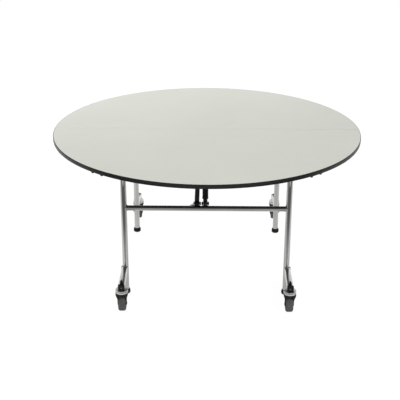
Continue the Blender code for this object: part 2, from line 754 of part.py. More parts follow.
def hang_on(empty_name, point, names):
    """Parents pieces to an empty on the axis that they turn about."""
    empty = bpy.data.objects.new(empty_name, None)
    PARTS.objects.link(empty)
    empty.location = point
    empty.empty_display_size = LEG_DIAMETER
    for name in names:
        piece = bpy.data.objects[name]
        piece.parent = empty
        piece.matrix_parent_inverse = Matrix.Translation(point).inverted()


def build_half(label, side):
    """Everything that belongs to the front or to the rear."""
    y = side * LEG_SPREAD_Y
    build_top(label, side)
    build_hinge_rail(label, side)
    build_crossbar(label, side)
    build_link(label, side)
    build_spring(label, side)
    on_top = [label + end for end in ("_top_core", "_top_laminate", "_edge_band", "_hinge_rail")]
    for hand, toward in HANDS.items():
        corner = label + "_" + hand
        x = toward * LEG_SPREAD_X
        build_leg(corner, x, y)
        build_foot(corner, x, y)
        build_leg_pivot(corner, x, y)
        build_arm(corner, toward, side)
        build_castor(corner, toward * ARM_X, side * SWIVEL_Y)
        build_buffer(corner, toward, side)
        on_top += [corner + end for end in ("_pivot_bracket", "_pivot_pin", "_rim_buffer")]
        swivel = (toward * ARM_X, side * SWIVEL_Y, HEAD_BOTTOM)
        hang_on(corner + "_swivel_axis", swivel, [corner + "_castor_fork"])
    hang_on(label + "_top_axis", (0.0, y, PIVOT_Z), on_top)
    hang_on(label + "_link_axis", (side * LINK_X, y, EYE_Z), [label + "_link"])
    hang_on(label + "_rod_axis", (side * SPRING_X, y, EYE_Z), [label + "_spring_rod"])
    spring_top = (side * SPRING_X, side * SPRING_Y, PIVOT_Z)
    hang_on(label + "_cylinder_axis", spring_top, [label + "_spring_cylinder"])


def main():
    """Builds the whole table."""
    for label, side in SIDES.items():
        build_half(label, side)
    cross_bar("centre_hinge_rod", 0.0, HINGE_ROD_HALF, 0.0, HINGE_Z, HINGE_ROD_RADIUS, "black_steel")
    build_hanger()
    hang_on("centre_axis", (0.0, 0.0, HINGE_Z), ["centre_hinge_rod", "centre_hanger"])
    bpy.context.view_layer.update()


main()
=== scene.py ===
"""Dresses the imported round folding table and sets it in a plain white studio.

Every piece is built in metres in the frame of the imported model: +Z up, X along the centre
seam, -Y towards the viewer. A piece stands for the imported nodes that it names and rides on
their body, so the table folds, swivels and rolls with its finished surfaces.
"""

from __future__ import annotations

import json
import logging
import math
from collections.abc import Sequence
from dataclasses import dataclass, field
from enum import Enum

import bmesh
import bpy
from mathutils import Matrix, Vector

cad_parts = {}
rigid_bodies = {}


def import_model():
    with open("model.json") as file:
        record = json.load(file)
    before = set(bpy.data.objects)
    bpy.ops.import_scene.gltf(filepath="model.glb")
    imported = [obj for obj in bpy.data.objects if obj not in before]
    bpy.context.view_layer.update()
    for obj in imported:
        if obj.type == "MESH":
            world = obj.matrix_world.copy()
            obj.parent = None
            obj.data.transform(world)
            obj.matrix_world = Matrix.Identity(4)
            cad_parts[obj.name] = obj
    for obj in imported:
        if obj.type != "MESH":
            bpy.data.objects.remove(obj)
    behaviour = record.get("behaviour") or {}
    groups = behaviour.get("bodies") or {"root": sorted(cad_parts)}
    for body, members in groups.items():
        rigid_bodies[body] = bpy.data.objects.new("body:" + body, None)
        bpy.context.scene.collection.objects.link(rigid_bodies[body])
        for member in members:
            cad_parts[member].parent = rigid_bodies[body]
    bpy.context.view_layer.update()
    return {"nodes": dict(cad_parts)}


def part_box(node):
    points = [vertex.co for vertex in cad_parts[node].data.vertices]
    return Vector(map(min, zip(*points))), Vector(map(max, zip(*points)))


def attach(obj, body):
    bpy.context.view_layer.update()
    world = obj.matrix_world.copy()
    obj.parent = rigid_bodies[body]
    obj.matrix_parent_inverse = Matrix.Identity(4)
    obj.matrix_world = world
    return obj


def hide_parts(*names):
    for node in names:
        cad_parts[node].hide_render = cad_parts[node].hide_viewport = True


LOG = logging.getLogger("folding_table")

Point2 = tuple[float, float]
Point3 = tuple[float, float, float]
Colour = tuple[float, float, float]
WorkMesh = bmesh.types.BMesh
NodeTree = bpy.types.NodeTree
Socket = bpy.types.NodeSocket

QUARTER = math.pi / 2


class Signed(Enum):
    """A choice of two whose value is a sign along one axis."""

    @property
    def label(self) -> str:
        """The choice's word in node names."""
        return self.name.lower()


class Side(Signed):
    """Which half of the table a piece belongs to; the value is its sign along Y."""

    FRONT = -1.0
    REAR = 1.0

    @property
    def top(self) -> str:
        """The body of this side's half top."""
        return self.label + "_top"

    @property
    def frame(self) -> str:
        """The body of this side's leg frame."""
        return self.label + "_frame"


class Hand(Signed):
    """Left or right of the viewer; the value is the sign along X."""

    LEFT = -1.0
    RIGHT = 1.0


def corner_name(side: Side, hand: Hand) -> str:
    """The words for one corner of the table in node names."""
    return f"{side.label}_{hand.label}"


class Slot(Enum):
    """The record's material slots."""

    BOARD = "board"
    LAMINATE = "laminate"
    EDGING = "edging"
    CHROME = "chrome"
    BLACK_STEEL = "black_steel"
    RUBBER = "rubber"
    PLASTIC = "plastic"
    TYRE = "tyre"


@dataclass(frozen=True)
class TableSizes:
    """The sizes that several sub-assemblies share, in metres."""

    top_radius: float = 0.762
    top_height: float = 0.731
    top_thickness: float = 0.020
    band: float = 0.0025
    laminate: float = 0.0010
    seam: float = 0.0006
    fit: float = 0.0003
    plate: float = 0.003
    leg_x: float = 0.392
    leg_y: float = 0.365
    leg_radius: float = 0.0143
    crossbar_z: float = 0.4535
    crossbar_radius: float = 0.0127
    pivot_drop: float = 0.026
    hinge_drop: float = 0.056
    eye_rise: float = 0.0255
    spring_x: float = 0.005
    link_x: float = 0.045
    arm_x: float = 0.396
    arm_z: float = 0.133
    arm_side: float = 0.030
    arm_reach: float = 0.202
    swivel_reach: float = 0.185
    head_depth: float = 0.0165
    trail: float = 0.010
    wheel_radius: float = 0.0375
    wheel_lift: float = 0.0005

    @property
    def underside(self) -> float:
        """The height of the top's lower face."""
        return self.top_height - self.top_thickness

    @property
    def pivot_z(self) -> float:
        """The height of the legs' pivots."""
        return self.underside - self.pivot_drop

    @property
    def eye_z(self) -> float:
        """The height of the struts' eyes on the crossbar."""
        return self.crossbar_z + self.eye_rise

    @property
    def lever(self) -> float:
        """How far the struts' eyes hang below the legs' pivots."""
        return self.pivot_z - self.eye_z

    @property
    def spring_y(self) -> float:
        """How far from the seam the springs meet the top."""
        return self.leg_y - self.lever

    @property
    def link_end_z(self) -> float:
        """The height of the links' ends on the hanger."""
        return self.underside - self.hinge_drop - self.lever

    @property
    def arm_top(self) -> float:
        """The height of the castor arms' upper faces."""
        return self.arm_z + self.arm_side / 2

    @property
    def arm_bottom(self) -> float:
        """The height of the castor arms' lower faces."""
        return self.arm_z - self.arm_side / 2

    @property
    def arm_end(self) -> float:
        """How far from the seam the castor arms end."""
        return self.leg_y + self.arm_reach

    @property
    def swivel_y(self) -> float:
        """How far from the seam the castors swivel."""
        return self.leg_y + self.swivel_reach

    @property
    def head_bottom(self) -> float:
        """The height of the castor heads' lower faces."""
        return self.arm_bottom - self.head_depth

    @property
    def axle_z(self) -> float:
        """The height of the wheels' axles."""
        return self.wheel_radius + self.wheel_lift


SIZES = TableSizes()


# Mesh making

SMOOTH_ANGLE = 38.0
EDGE_SEGMENTS = 3
EYE_STEPS = 20
LONGEST_EYE_ARC = 0.8 * math.tau
HEX_SIDES = 6
HEX_CHAMFER = 0.16

# Stands a flat outline in the Y-Z plane
UPRIGHT = Matrix(
    (
        (0.0, 0.0, 1.0, 0.0),
        (1.0, 0.0, 0.0, 0.0),
        (0.0, 1.0, 0.0, 0.0),
        (0.0, 0.0, 0.0, 1.0),
    )
)

# Stands a flat outline in the X-Z plane
FACING = Matrix.Rotation(QUARTER, 4, "X")


def arc_points(centre: Point2, radius: float, first: float, last: float, steps: int) -> list[Point2]:
    """Points along a circle.

    Args:
        centre: The circle's centre.
        radius: The circle's radius.
        first: The first angle, in radians.
        last: The last angle, in radians.
        steps: How many equal steps lie between them.

    Returns:
        The points, both ends included.
    """
    angles = [first + (last - first) * step / steps for step in range(steps + 1)]
    return [(centre[0] + radius * math.cos(a), centre[1] + radius * math.sin(a)) for a in angles]


def ring_points(radius: float, count: int) -> list[Point2]:
    """Points spaced evenly round a circle at the origin.

    Args:
        radius: The circle's radius.
        count: How many points there are.

    Returns:
        The points.
    """
    angles = [math.tau * step / count for step in range(count)]
    return [(radius * math.cos(a), radius * math.sin(a)) for a in angles]


def mirrored(profile: list[Point2]) -> list[Point2]:
    """A profile's upper half and, going back, the same half below.

    Args:
        profile: Radius and height of the upper half's points.

    Returns:
        The whole profile.
    """
    return profile + [(radius, -height) for radius, height in reversed(profile)]


def rounded_rectangle(low: Point2, high: Point2, corner: float, steps: int = 6) -> list[Point2]:
    """The outline of a rectangle with rounded corners, anticlockwise.

    Args:
        low: The lowest corner.
        high: The highest corner.
        corner: The corners' radius.
        steps: Steps along each corner.

    Returns:
        The outline's points.
    """
    centres = (
        (high[0] - corner, high[1] - corner),
        (low[0] + corner, high[1] - corner),
        (low[0] + corner, low[1] + corner),
        (high[0] - corner, low[1] + corner),
    )
    outline: list[Point2] = []
    for turn, centre in enumerate(centres):
        first = QUARTER * turn
        outline += arc_points(centre, corner, first, first + QUARTER, steps)
    return outline


def soft_square(half: float, power: float, steps: int = 48) -> list[Point2]:
    """The outline of a drawn square tube whose sides swell into its corners, anticlockwise.

    Args:
        half: Half the square's side.
        power: How square it is; 2 is a circle.
        steps: Points round the outline.

    Returns:
        The outline's points.
    """
    outline: list[Point2] = []
    for step in range(steps):
        angle = math.tau * (step + 0.5) / steps
        across, rise = math.cos(angle), math.sin(angle)
        x = math.copysign(abs(across) ** (2.0 / power), across)
        y = math.copysign(abs(rise) ** (2.0 / power), rise)
        outline.append((half * x, half * y))
    return outline


def eye_plate(root_a: Point2, root_b: Point2, centre: Point2, radius: float) -> list[Point2]:
    """The outline of a plate drawn in from a straight root to a round eye.

    Args:
        root_a: One end of the root.
        root_b: The other end of the root.
        centre: The eye's centre.
        radius: The radius round the eye.

    Returns:
        The outline's points, root first.
    """
    middle = Vector(centre)
    angles = []
    for root, turn in ((root_a, 1.0), (root_b, -1.0)):
        away = Vector(root) - middle
        angles.append(math.atan2(away.y, away.x) + turn * math.acos(radius / away.length))
    first, last = angles
    while last <= first:
        last += math.tau
    if last - first > LONGEST_EYE_ARC:
        return eye_plate(root_b, root_a, centre, radius)
    return [root_b, root_a] + arc_points(centre, radius, first, last, EYE_STEPS)


def smooth(mesh: bpy.types.Mesh, keep: float = SMOOTH_ANGLE) -> None:
    """Smooths a mesh's faces and keeps its sharper edges crisp.

    Args:
        mesh: The mesh.
        keep: Edges sharper than this angle in degrees stay crisp.
    """
    mesh.polygons.foreach_set("use_smooth", [True] * len(mesh.polygons))
    mesh.set_sharp_from_angle(angle=math.radians(keep))


def to_mesh(name: str, work: WorkMesh, keep: float = SMOOTH_ANGLE) -> bpy.types.Mesh:
    """Turns a working mesh into a finished one with smooth faces and kept edges.

    Args:
        name: The mesh's name.
        work: The working mesh, which is freed.
        keep: Edges sharper than this angle in degrees stay crisp.

    Returns:
        The mesh.
    """
    bmesh.ops.recalc_face_normals(work, faces=work.faces)
    mesh = bpy.data.meshes.new(name)
    work.to_mesh(mesh)
    work.free()
    smooth(mesh, keep)
    return mesh


def add_turned(work: WorkMesh, profile: Sequence[Point2], place: Matrix, segments: int = 48) -> None:
    """Turns a profile about its own Z axis and adds it to a working mesh.

    Args:
        work: The working mesh.
        profile: Radius and height of each point; a radius of 0 is a pole, and a profile
            without poles is closed into a ring.
        place: Where the turned piece stands.
        segments: Steps round the axis.
    """
    rings: list[list[bmesh.types.BMVert]] = []
    for radius, height in profile:
        if radius == 0.0:
            rings.append([work.verts.new(place @ Vector((0.0, 0.0, height)))])
            continue
        spots = ring_points(radius, segments)
        rings.append([work.verts.new(place @ Vector((x, y, height))) for x, y in spots])
    pairs = list(zip(rings, rings[1:]))
    if len(rings[0]) > 1 and len(rings[-1]) > 1:
        pairs.append((rings[-1], rings[0]))
    for one, two in pairs:
        for step in range(segments):
            after = (step + 1) % segments
            corners = [one[step % len(one)], one[after % len(one)]]
            corners += [two[after % len(two)], two[step % len(two)]]
            work.faces.new(list(dict.fromkeys(corners)))


def add_slab(work: WorkMesh, outline: list[Point2], depth: float, place: Matrix, edge: float) -> None:
    """Adds a flat plate with softened edges to a working mesh.

    Args:
        work: The working mesh.
        outline: The plate's outline in its own X and Y.
        depth: Its thickness, centred on its own Z = 0.
        place: Where the plate stands.
        edge: How far its edges are rounded.
    """
    plate = bmesh.new()
    lower = [plate.verts.new((x, y, -depth / 2)) for x, y in outline]
    upper = [plate.verts.new((x, y, depth / 2)) for x, y in outline]
    plate.faces.new(list(reversed(lower)))
    plate.faces.new(upper)
    count = len(outline)
    for step in range(count):
        after = (step + 1) % count
        plate.faces.new((lower[step], lower[after], upper[after], upper[step]))
    rims = [e for e in plate.edges if abs(e.verts[0].co.z - e.verts[1].co.z) < depth / 4]
    shape = {"offset": edge, "segments": EDGE_SEGMENTS, "profile": 0.5}
    bmesh.ops.bevel(plate, geom=rims, affect="EDGES", clamp_overlap=True, **shape)
    moved = {v: work.verts.new(place @ v.co) for v in plate.verts}
    for face in plate.faces:
        work.faces.new([moved[v] for v in face.verts])
    plate.free()


def add_loft(work: WorkMesh, rings: list[list[Vector]]) -> None:
    """Adds a closed bar lofted through rings of corners.

    Args:
        work: The working mesh.
        rings: The corners of each ring, in the same order round.
    """
    rows = [[work.verts.new(corner) for corner in ring] for ring in rings]
    count = len(rows[0])
    for one, two in zip(rows, rows[1:]):
        for step in range(count):
            after = (step + 1) % count
            work.faces.new((one[step], one[after], two[after], two[step]))
    work.faces.new(rows[0])
    work.faces.new(list(reversed(rows[-1])))


def along(start: Vector, end: Vector) -> Matrix:
    """The matrix that stands a turned piece at a point, its axis towards another."""
    turn = (end - start).to_track_quat("Z", "Y").to_matrix().to_4x4()
    return Matrix.Translation(start) @ turn


def upright(x: float) -> Matrix:
    """The matrix that stands a flat outline in the Y-Z plane at this X."""
    return Matrix.Translation((x, 0.0, 0.0)) @ UPRIGHT


def crosswise(x: float, y: float, z: float) -> Matrix:
    """The matrix that lays a turned piece's axis along X at a point."""
    return Matrix.Translation((x, y, z)) @ Matrix.Rotation(QUARTER, 4, "Y")


def add_rod(work: WorkMesh, start: Vector, end: Vector, radius: float, edge: float = 0.0008) -> None:
    """Adds a round rod with chamfered ends to a working mesh.

    Args:
        work: The working mesh.
        start: The middle of one end.
        end: The middle of the other end.
        radius: The rod's radius.
        edge: The chamfer.
    """
    length = (end - start).length
    profile = [(0.0, 0.0), (radius - edge, 0.0), (radius, edge)]
    profile += [(radius, length - edge), (radius - edge, length), (0.0, length)]
    add_turned(work, profile, along(start, end))


def add_hex(work: WorkMesh, start: Vector, end: Vector, across: float) -> None:
    """Adds a six-sided bolt head, its corners turned down as on a real one.

    Args:
        work: The working mesh.
        start: The middle of the face that sits on the work.
        end: The middle of the outer face.
        across: The size across the flats.
    """
    outline = ring_points(across / math.sqrt(3.0), HEX_SIDES)
    length = (end - start).length
    place = along(start, end) @ Matrix.Translation((0.0, 0.0, length / 2))
    add_slab(work, outline, length, place, length * HEX_CHAMFER)


# Finishes

# The Mix node's colour sockets, by place, because its sockets for other types share their names
MIX_ONE, MIX_TWO, MIX_RESULT = 6, 7, 2


def shade(colour: Colour, share: float, lift: float = 0.0) -> Colour:
    """A paler or deeper version of a colour.

    Args:
        colour: The colour.
        share: What each channel is multiplied by.
        lift: What is then added to it.

    Returns:
        The new colour, at most white.
    """
    red, green, blue = (min(1.0, channel * share + lift) for channel in colour)
    return red, green, blue


def reckon(tree: NodeTree, operation: str, one: Socket, two: Socket | float) -> Socket:
    """Adds a node that reckons with two values.

    Args:
        tree: The tree that the node goes in.
        operation: What is done with the values.
        one: The first value.
        two: The second value, a socket or a plain number.

    Returns:
        The socket of the result.
    """
    node = tree.nodes.new("ShaderNodeMath")
    node.operation = operation
    first, second = node.inputs[:2]
    tree.links.new(one, first)
    if isinstance(two, float):
        second.default_value = two
    else:
        tree.links.new(two, second)
    return node.outputs["Value"]


class NodePen:
    """Draws one procedural material."""

    def __init__(self, name: str) -> None:
        """Starts a material with an empty tree, a Principled shader and Object coordinates.

        Args:
            name: The material's name.
        """
        self.material = bpy.data.materials.new(name)
        self.material.use_nodes = True
        self.tree = self.material.node_tree
        self.tree.nodes.clear()
        self.output = self.tree.nodes.new("ShaderNodeOutputMaterial")
        self.shader = self.tree.nodes.new("ShaderNodeBsdfPrincipled")
        self.tree.links.new(self.shader.outputs["BSDF"], self.output.inputs["Surface"])
        self.place = self.tree.nodes.new("ShaderNodeTexCoord").outputs["Object"]

    def set(self, **values: float) -> None:
        """Sets the shader's own sockets; an underscore in a name stands for a space."""
        for name, value in values.items():
            self.shader.inputs[name.replace("_", " ")].default_value = value

    def link(self, socket: Socket, name: str) -> None:
        """Links a socket to one of the shader's inputs."""
        self.tree.links.new(socket, self.shader.inputs[name])

    def stretched(self, scale: Point3) -> Socket:
        """Object coordinates stretched along the axes.

        Args:
            scale: The stretch along each axis.

        Returns:
            The coordinates' socket.
        """
        node = self.tree.nodes.new("ShaderNodeMapping")
        node.inputs["Scale"].default_value = scale
        self.tree.links.new(self.place, node.inputs["Vector"])
        return node.outputs["Vector"]

    def noise(self, scale: float, detail: float, rough: float, at: Socket | None = None) -> Socket:
        """A noise pattern.

        Args:
            scale: Features for each metre.
            detail: How many finer layers it has.
            rough: How strong those layers are.
            at: Coordinates to read in place of the plain ones.

        Returns:
            The pattern's value socket.
        """
        node = self.tree.nodes.new("ShaderNodeTexNoise")
        node.inputs["Scale"].default_value = scale
        node.inputs["Detail"].default_value = detail
        node.inputs["Roughness"].default_value = rough
        self.tree.links.new(at or self.place, node.inputs["Vector"])
        return node.outputs["Fac"]

    def spread(
        self,
        value: Socket,
        low: float,
        high: float,
        start: float = 0.3,
        end: float = 0.7,
    ) -> Socket:
        """Maps the middle of a pattern onto a range.

        Args:
            value: The pattern.
            low: The range's low end.
            high: The range's high end.
            start: The pattern value that gives the low end.
            end: The pattern value that gives the high end.

        Returns:
            The mapped value socket.
        """
        node = self.tree.nodes.new("ShaderNodeMapRange")
        limits = {"From Min": start, "From Max": end, "To Min": low, "To Max": high}
        for name, number in limits.items():
            node.inputs[name].default_value = number
        self.tree.links.new(value, node.inputs["Value"])
        return node.outputs["Result"]

    def tint(self, value: Socket, stops: list[tuple[float, Colour]]) -> Socket:
        """Colours a pattern through a ramp.

        Args:
            value: The pattern.
            stops: Place and colour of each stop, from low to high.

        Returns:
            The colour socket.
        """
        node = self.tree.nodes.new("ShaderNodeValToRGB")
        for element, (place, colour) in zip(node.color_ramp.elements, stops, strict=True):
            element.position = place
            element.color = (*colour, 1.0)
        self.tree.links.new(value, node.inputs["Fac"])
        return node.outputs["Color"]

    def blend(self, share: Socket, one: Socket, two: Socket) -> Socket:
        """Mixes two colour sockets by a pattern.

        Args:
            share: How much of the second colour shows.
            one: The first colour.
            two: The second colour.

        Returns:
            The mixed colour socket.
        """
        node = self.tree.nodes.new("ShaderNodeMix")
        node.data_type = "RGBA"
        self.tree.links.new(share, node.inputs["Factor"])
        self.tree.links.new(one, node.inputs[MIX_ONE])
        self.tree.links.new(two, node.inputs[MIX_TWO])
        return node.outputs[MIX_RESULT]

    def bump(self, height: Socket, strength: float, distance: float) -> None:
        """Raises the surface by a pattern.

        Args:
            height: The pattern.
            strength: How strong the relief is, from 0 to 1.
            distance: The relief's depth in metres.
        """
        node = self.tree.nodes.new("ShaderNodeBump")
        node.inputs["Strength"].default_value = strength
        node.inputs["Distance"].default_value = distance
        self.tree.links.new(height, node.inputs["Height"])
        self.tree.links.new(node.outputs["Normal"], self.shader.inputs["Normal"])


@dataclass(frozen=True)
class Finish:
    """One finish of the table.

    Attributes:
        name: The material's name.
        slot: The record's slot that it belongs to.
    """

    name: str
    slot: Slot

    def draw(self, pen: NodePen) -> None:
        """Draws the finish; each kind has its own way."""
        raise NotImplementedError

    def material(self) -> bpy.types.Material:
        """The finish's material, made on first use.

        Returns:
            The material.
        """
        made = bpy.data.materials.get(self.name)
        if made is None:
            pen = NodePen(self.name)
            self.draw(pen)
            made = pen.material
        return made


@dataclass(frozen=True)
class ChromePlate(Finish):
    """Bright plating with faint polishing marks and handling smudges."""

    colour: Colour = (0.56, 0.56, 0.545)
    gloss_low: float = 0.025
    gloss_high: float = 0.06

    def draw(self, pen: NodePen) -> None:
        """Draws a mirror metal whose gloss varies a little.

        Args:
            pen: The material's pen.
        """
        pen.set(Metallic=1.0)
        smudge = pen.noise(scale=9.0, detail=4.0, rough=0.6)
        pen.link(pen.spread(smudge, self.gloss_low, self.gloss_high), "Roughness")
        stops = [(0.35, shade(self.colour, 0.93)), (0.65, shade(self.colour, 1.07))]
        pen.link(pen.tint(pen.noise(scale=5.0, detail=3.0, rough=0.5), stops), "Base Color")
        drawn = pen.stretched((1.0, 1.0, 0.2))
        polish = pen.noise(scale=120.0, detail=2.0, rough=0.4, at=drawn)
        pen.bump(polish, strength=0.012, distance=0.0002)


@dataclass(frozen=True)
class TopLaminate(Finish):
    """Pale warm grey laminate with a fine fleck and a satin grain."""

    colour: Colour = (0.655, 0.662, 0.600)

    def draw(self, pen: NodePen) -> None:
        """Draws the fleck over a slow drift of tone, with a pebbled satin face.

        Args:
            pen: The material's pen.
        """
        pen.set(IOR=1.5)
        pale, deep = shade(self.colour, 1.025), shade(self.colour, 0.975)
        drift = pen.noise(scale=2.2, detail=3.0, rough=0.5)
        ground = pen.tint(drift, [(0.3, deep), (0.7, pale)])
        specks = pen.noise(scale=620.0, detail=2.0, rough=0.6)
        fleck = pen.tint(specks, [(0.0, shade(self.colour, 0.80)), (1.0, pale)])
        patches = pen.noise(scale=430.0, detail=3.0, rough=0.7)
        share = pen.spread(patches, low=0.0, high=0.55, start=0.56, end=0.72)
        pen.link(pen.blend(share, ground, fleck), "Base Color")
        satin = pen.noise(scale=14.0, detail=4.0, rough=0.6)
        pen.link(pen.spread(satin, low=0.33, high=0.43), "Roughness")
        pebbles = pen.noise(scale=900.0, detail=2.0, rough=0.5)
        pen.bump(pebbles, strength=0.05, distance=0.0003)


@dataclass(frozen=True)
class BlackMoulding(Finish):
    """Black plastic, satin on the table's edge and duller on small mouldings."""

    colour: Colour = (0.008, 0.008, 0.008)
    gloss_low: float = 0.26
    gloss_high: float = 0.40
    grain: float = 700.0
    relief: float = 0.06

    def draw(self, pen: NodePen) -> None:
        """Draws a moulded grain with scuffs that show as duller, paler patches.

        Args:
            pen: The material's pen.
        """
        pen.set(IOR=1.45, Specular_IOR_Level=0.4)
        scuff = pen.noise(scale=38.0, detail=5.0, rough=0.7)
        worn = shade(self.colour, 2.1, 0.004)
        pen.link(pen.tint(scuff, [(0.52, self.colour), (0.82, worn)]), "Base Color")
        pen.link(pen.spread(scuff, self.gloss_low, self.gloss_high), "Roughness")
        grain = pen.noise(scale=self.grain, detail=2.0, rough=0.5)
        pen.bump(grain, strength=self.relief, distance=0.0003)


@dataclass(frozen=True)
class BlackEnamel(Finish):
    """Black baked enamel on steel, with a fine orange peel; duller as a powder coat."""

    colour: Colour = (0.011, 0.011, 0.0115)
    sheen: float = 0.35
    gloss_low: float = 0.30
    gloss_high: float = 0.46

    def draw(self, pen: NodePen) -> None:
        """Draws the enamel's peel and the faint dust that settles on it.

        Args:
            pen: The material's pen.
        """
        pen.set(IOR=1.45, Specular_IOR_Level=self.sheen)
        dust = pen.noise(scale=21.0, detail=5.0, rough=0.65)
        dusty = shade(self.colour, 1.9, 0.003)
        pen.link(pen.tint(dust, [(0.45, self.colour), (0.8, dusty)]), "Base Color")
        pen.link(pen.spread(dust, self.gloss_low, self.gloss_high), "Roughness")
        peel = pen.noise(scale=480.0, detail=1.0, rough=0.4)
        pen.bump(peel, strength=0.12, distance=0.0003)


@dataclass(frozen=True)
class MouldedRubber(Finish):
    """Matt rubber with a pitted skin and a paler bloom."""

    colour: Colour = (0.012, 0.012, 0.012)
    bloom: Colour = (0.030, 0.030, 0.029)
    gloss_low: float = 0.66
    gloss_high: float = 0.82

    def draw(self, pen: NodePen) -> None:
        """Draws the bloom in soft patches over fine pits.

        Args:
            pen: The material's pen.
        """
        pen.set(IOR=1.45)
        patch = pen.noise(scale=60.0, detail=5.0, rough=0.7)
        pen.link(pen.tint(patch, [(0.38, self.colour), (0.74, self.bloom)]), "Base Color")
        pen.link(pen.spread(patch, self.gloss_low, self.gloss_high), "Roughness")
        pits = pen.noise(scale=1100.0, detail=3.0, rough=0.6)
        pen.bump(pits, strength=0.18, distance=0.0004)


@dataclass(frozen=True)
class DarkBacking(Finish):
    """The dark sheet that faces the board below, with faint fibres."""

    colour: Colour = (0.020, 0.019, 0.017)

    def draw(self, pen: NodePen) -> None:
        """Draws long pressed fibres over a mottled ground.

        Args:
            pen: The material's pen.
        """
        pen.set(IOR=1.5)
        drawn = pen.stretched((0.12, 1.0, 1.0))
        fibre = pen.noise(scale=160.0, detail=4.0, rough=0.6, at=drawn)
        stops = [(0.4, self.colour), (0.75, shade(self.colour, 1.8))]
        pen.link(pen.tint(fibre, stops), "Base Color")
        mottle = pen.noise(scale=12.0, detail=4.0, rough=0.6)
        pen.link(pen.spread(mottle, low=0.5, high=0.7), "Roughness")
        pen.bump(fibre, strength=0.1, distance=0.0003)


@dataclass(frozen=True)
class ZincScrew(Finish):
    """Dull plated screw heads."""

    colour: Colour = (0.36, 0.35, 0.33)

    def draw(self, pen: NodePen) -> None:
        """Draws a greyed metal that is darker and duller where it is tarnished.

        Args:
            pen: The material's pen.
        """
        pen.set(Metallic=1.0)
        tarnish = pen.noise(scale=300.0, detail=4.0, rough=0.7)
        stops = [(0.35, shade(self.colour, 0.55)), (0.7, self.colour)]
        pen.link(pen.tint(tarnish, stops), "Base Color")
        pen.link(pen.spread(tarnish, low=0.48, high=0.30), "Roughness")


CHROME = ChromePlate("chrome_plate", Slot.CHROME)
BRIGHT_ZINC = ChromePlate(
    "bright_zinc", Slot.CHROME, (0.77, 0.772, 0.765), gloss_low=0.08, gloss_high=0.18
)
SATIN_ZINC = ChromePlate(
    "satin_zinc", Slot.CHROME, (0.77, 0.772, 0.765), gloss_low=0.30, gloss_high=0.42
)
LAMINATE = TopLaminate("top_laminate", Slot.LAMINATE)
EDGING = BlackMoulding("edge_moulding", Slot.EDGING)
CAP_PLASTIC = BlackMoulding(
    "cap_plastic", Slot.PLASTIC, (0.010, 0.010, 0.010),
    gloss_low=0.36, gloss_high=0.50, grain=900.0, relief=0.12,
)
HUB_PLASTIC = BlackMoulding(
    "hub_plastic", Slot.TYRE, (0.022, 0.022, 0.022),
    gloss_low=0.40, gloss_high=0.55, grain=900.0, relief=0.12,
)
ENAMEL = BlackEnamel("black_enamel", Slot.BLACK_STEEL)
STRUT_COAT = BlackEnamel(
    "strut_coat", Slot.BLACK_STEEL, (0.0095, 0.0095, 0.0100), sheen=0.12, gloss_low=0.55, gloss_high=0.70
)
SPRING_COAT = BlackEnamel(
    "spring_coat", Slot.BLACK_STEEL, (0.0300, 0.0300, 0.0315), sheen=0.20, gloss_low=0.45, gloss_high=0.60
)
FOOT_RUBBER = MouldedRubber("foot_rubber", Slot.RUBBER)
TYRE_RUBBER = MouldedRubber(
    "tyre_rubber", Slot.TYRE, (0.112, 0.112, 0.111),
    bloom=(0.156, 0.156, 0.153), gloss_low=0.56, gloss_high=0.72,
)
BACKING = DarkBacking("dark_backing", Slot.BOARD)
ZINC = ZincScrew("zinc_screw", Slot.BLACK_STEEL)


# Pieces


def settle(name: str, mesh: bpy.types.Mesh, finish: Finish, body: str, *nodes: str) -> None:
    """Makes a finished piece of a mesh and sets it on its body.

    Args:
        name: The piece's name.
        mesh: Its mesh, in the model's frame.
        finish: Its finish.
        body: The body that it rides on.
        nodes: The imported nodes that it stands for.
    """
    piece = bpy.data.objects.new(name, mesh)
    bpy.context.scene.collection.objects.link(piece)
    mesh.materials.clear()
    mesh.materials.append(finish.material())
    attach(piece, body)
    if nodes:
        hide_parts(*nodes)
    LOG.info("%s rides on %s, %d faces", name, body, len(mesh.polygons))


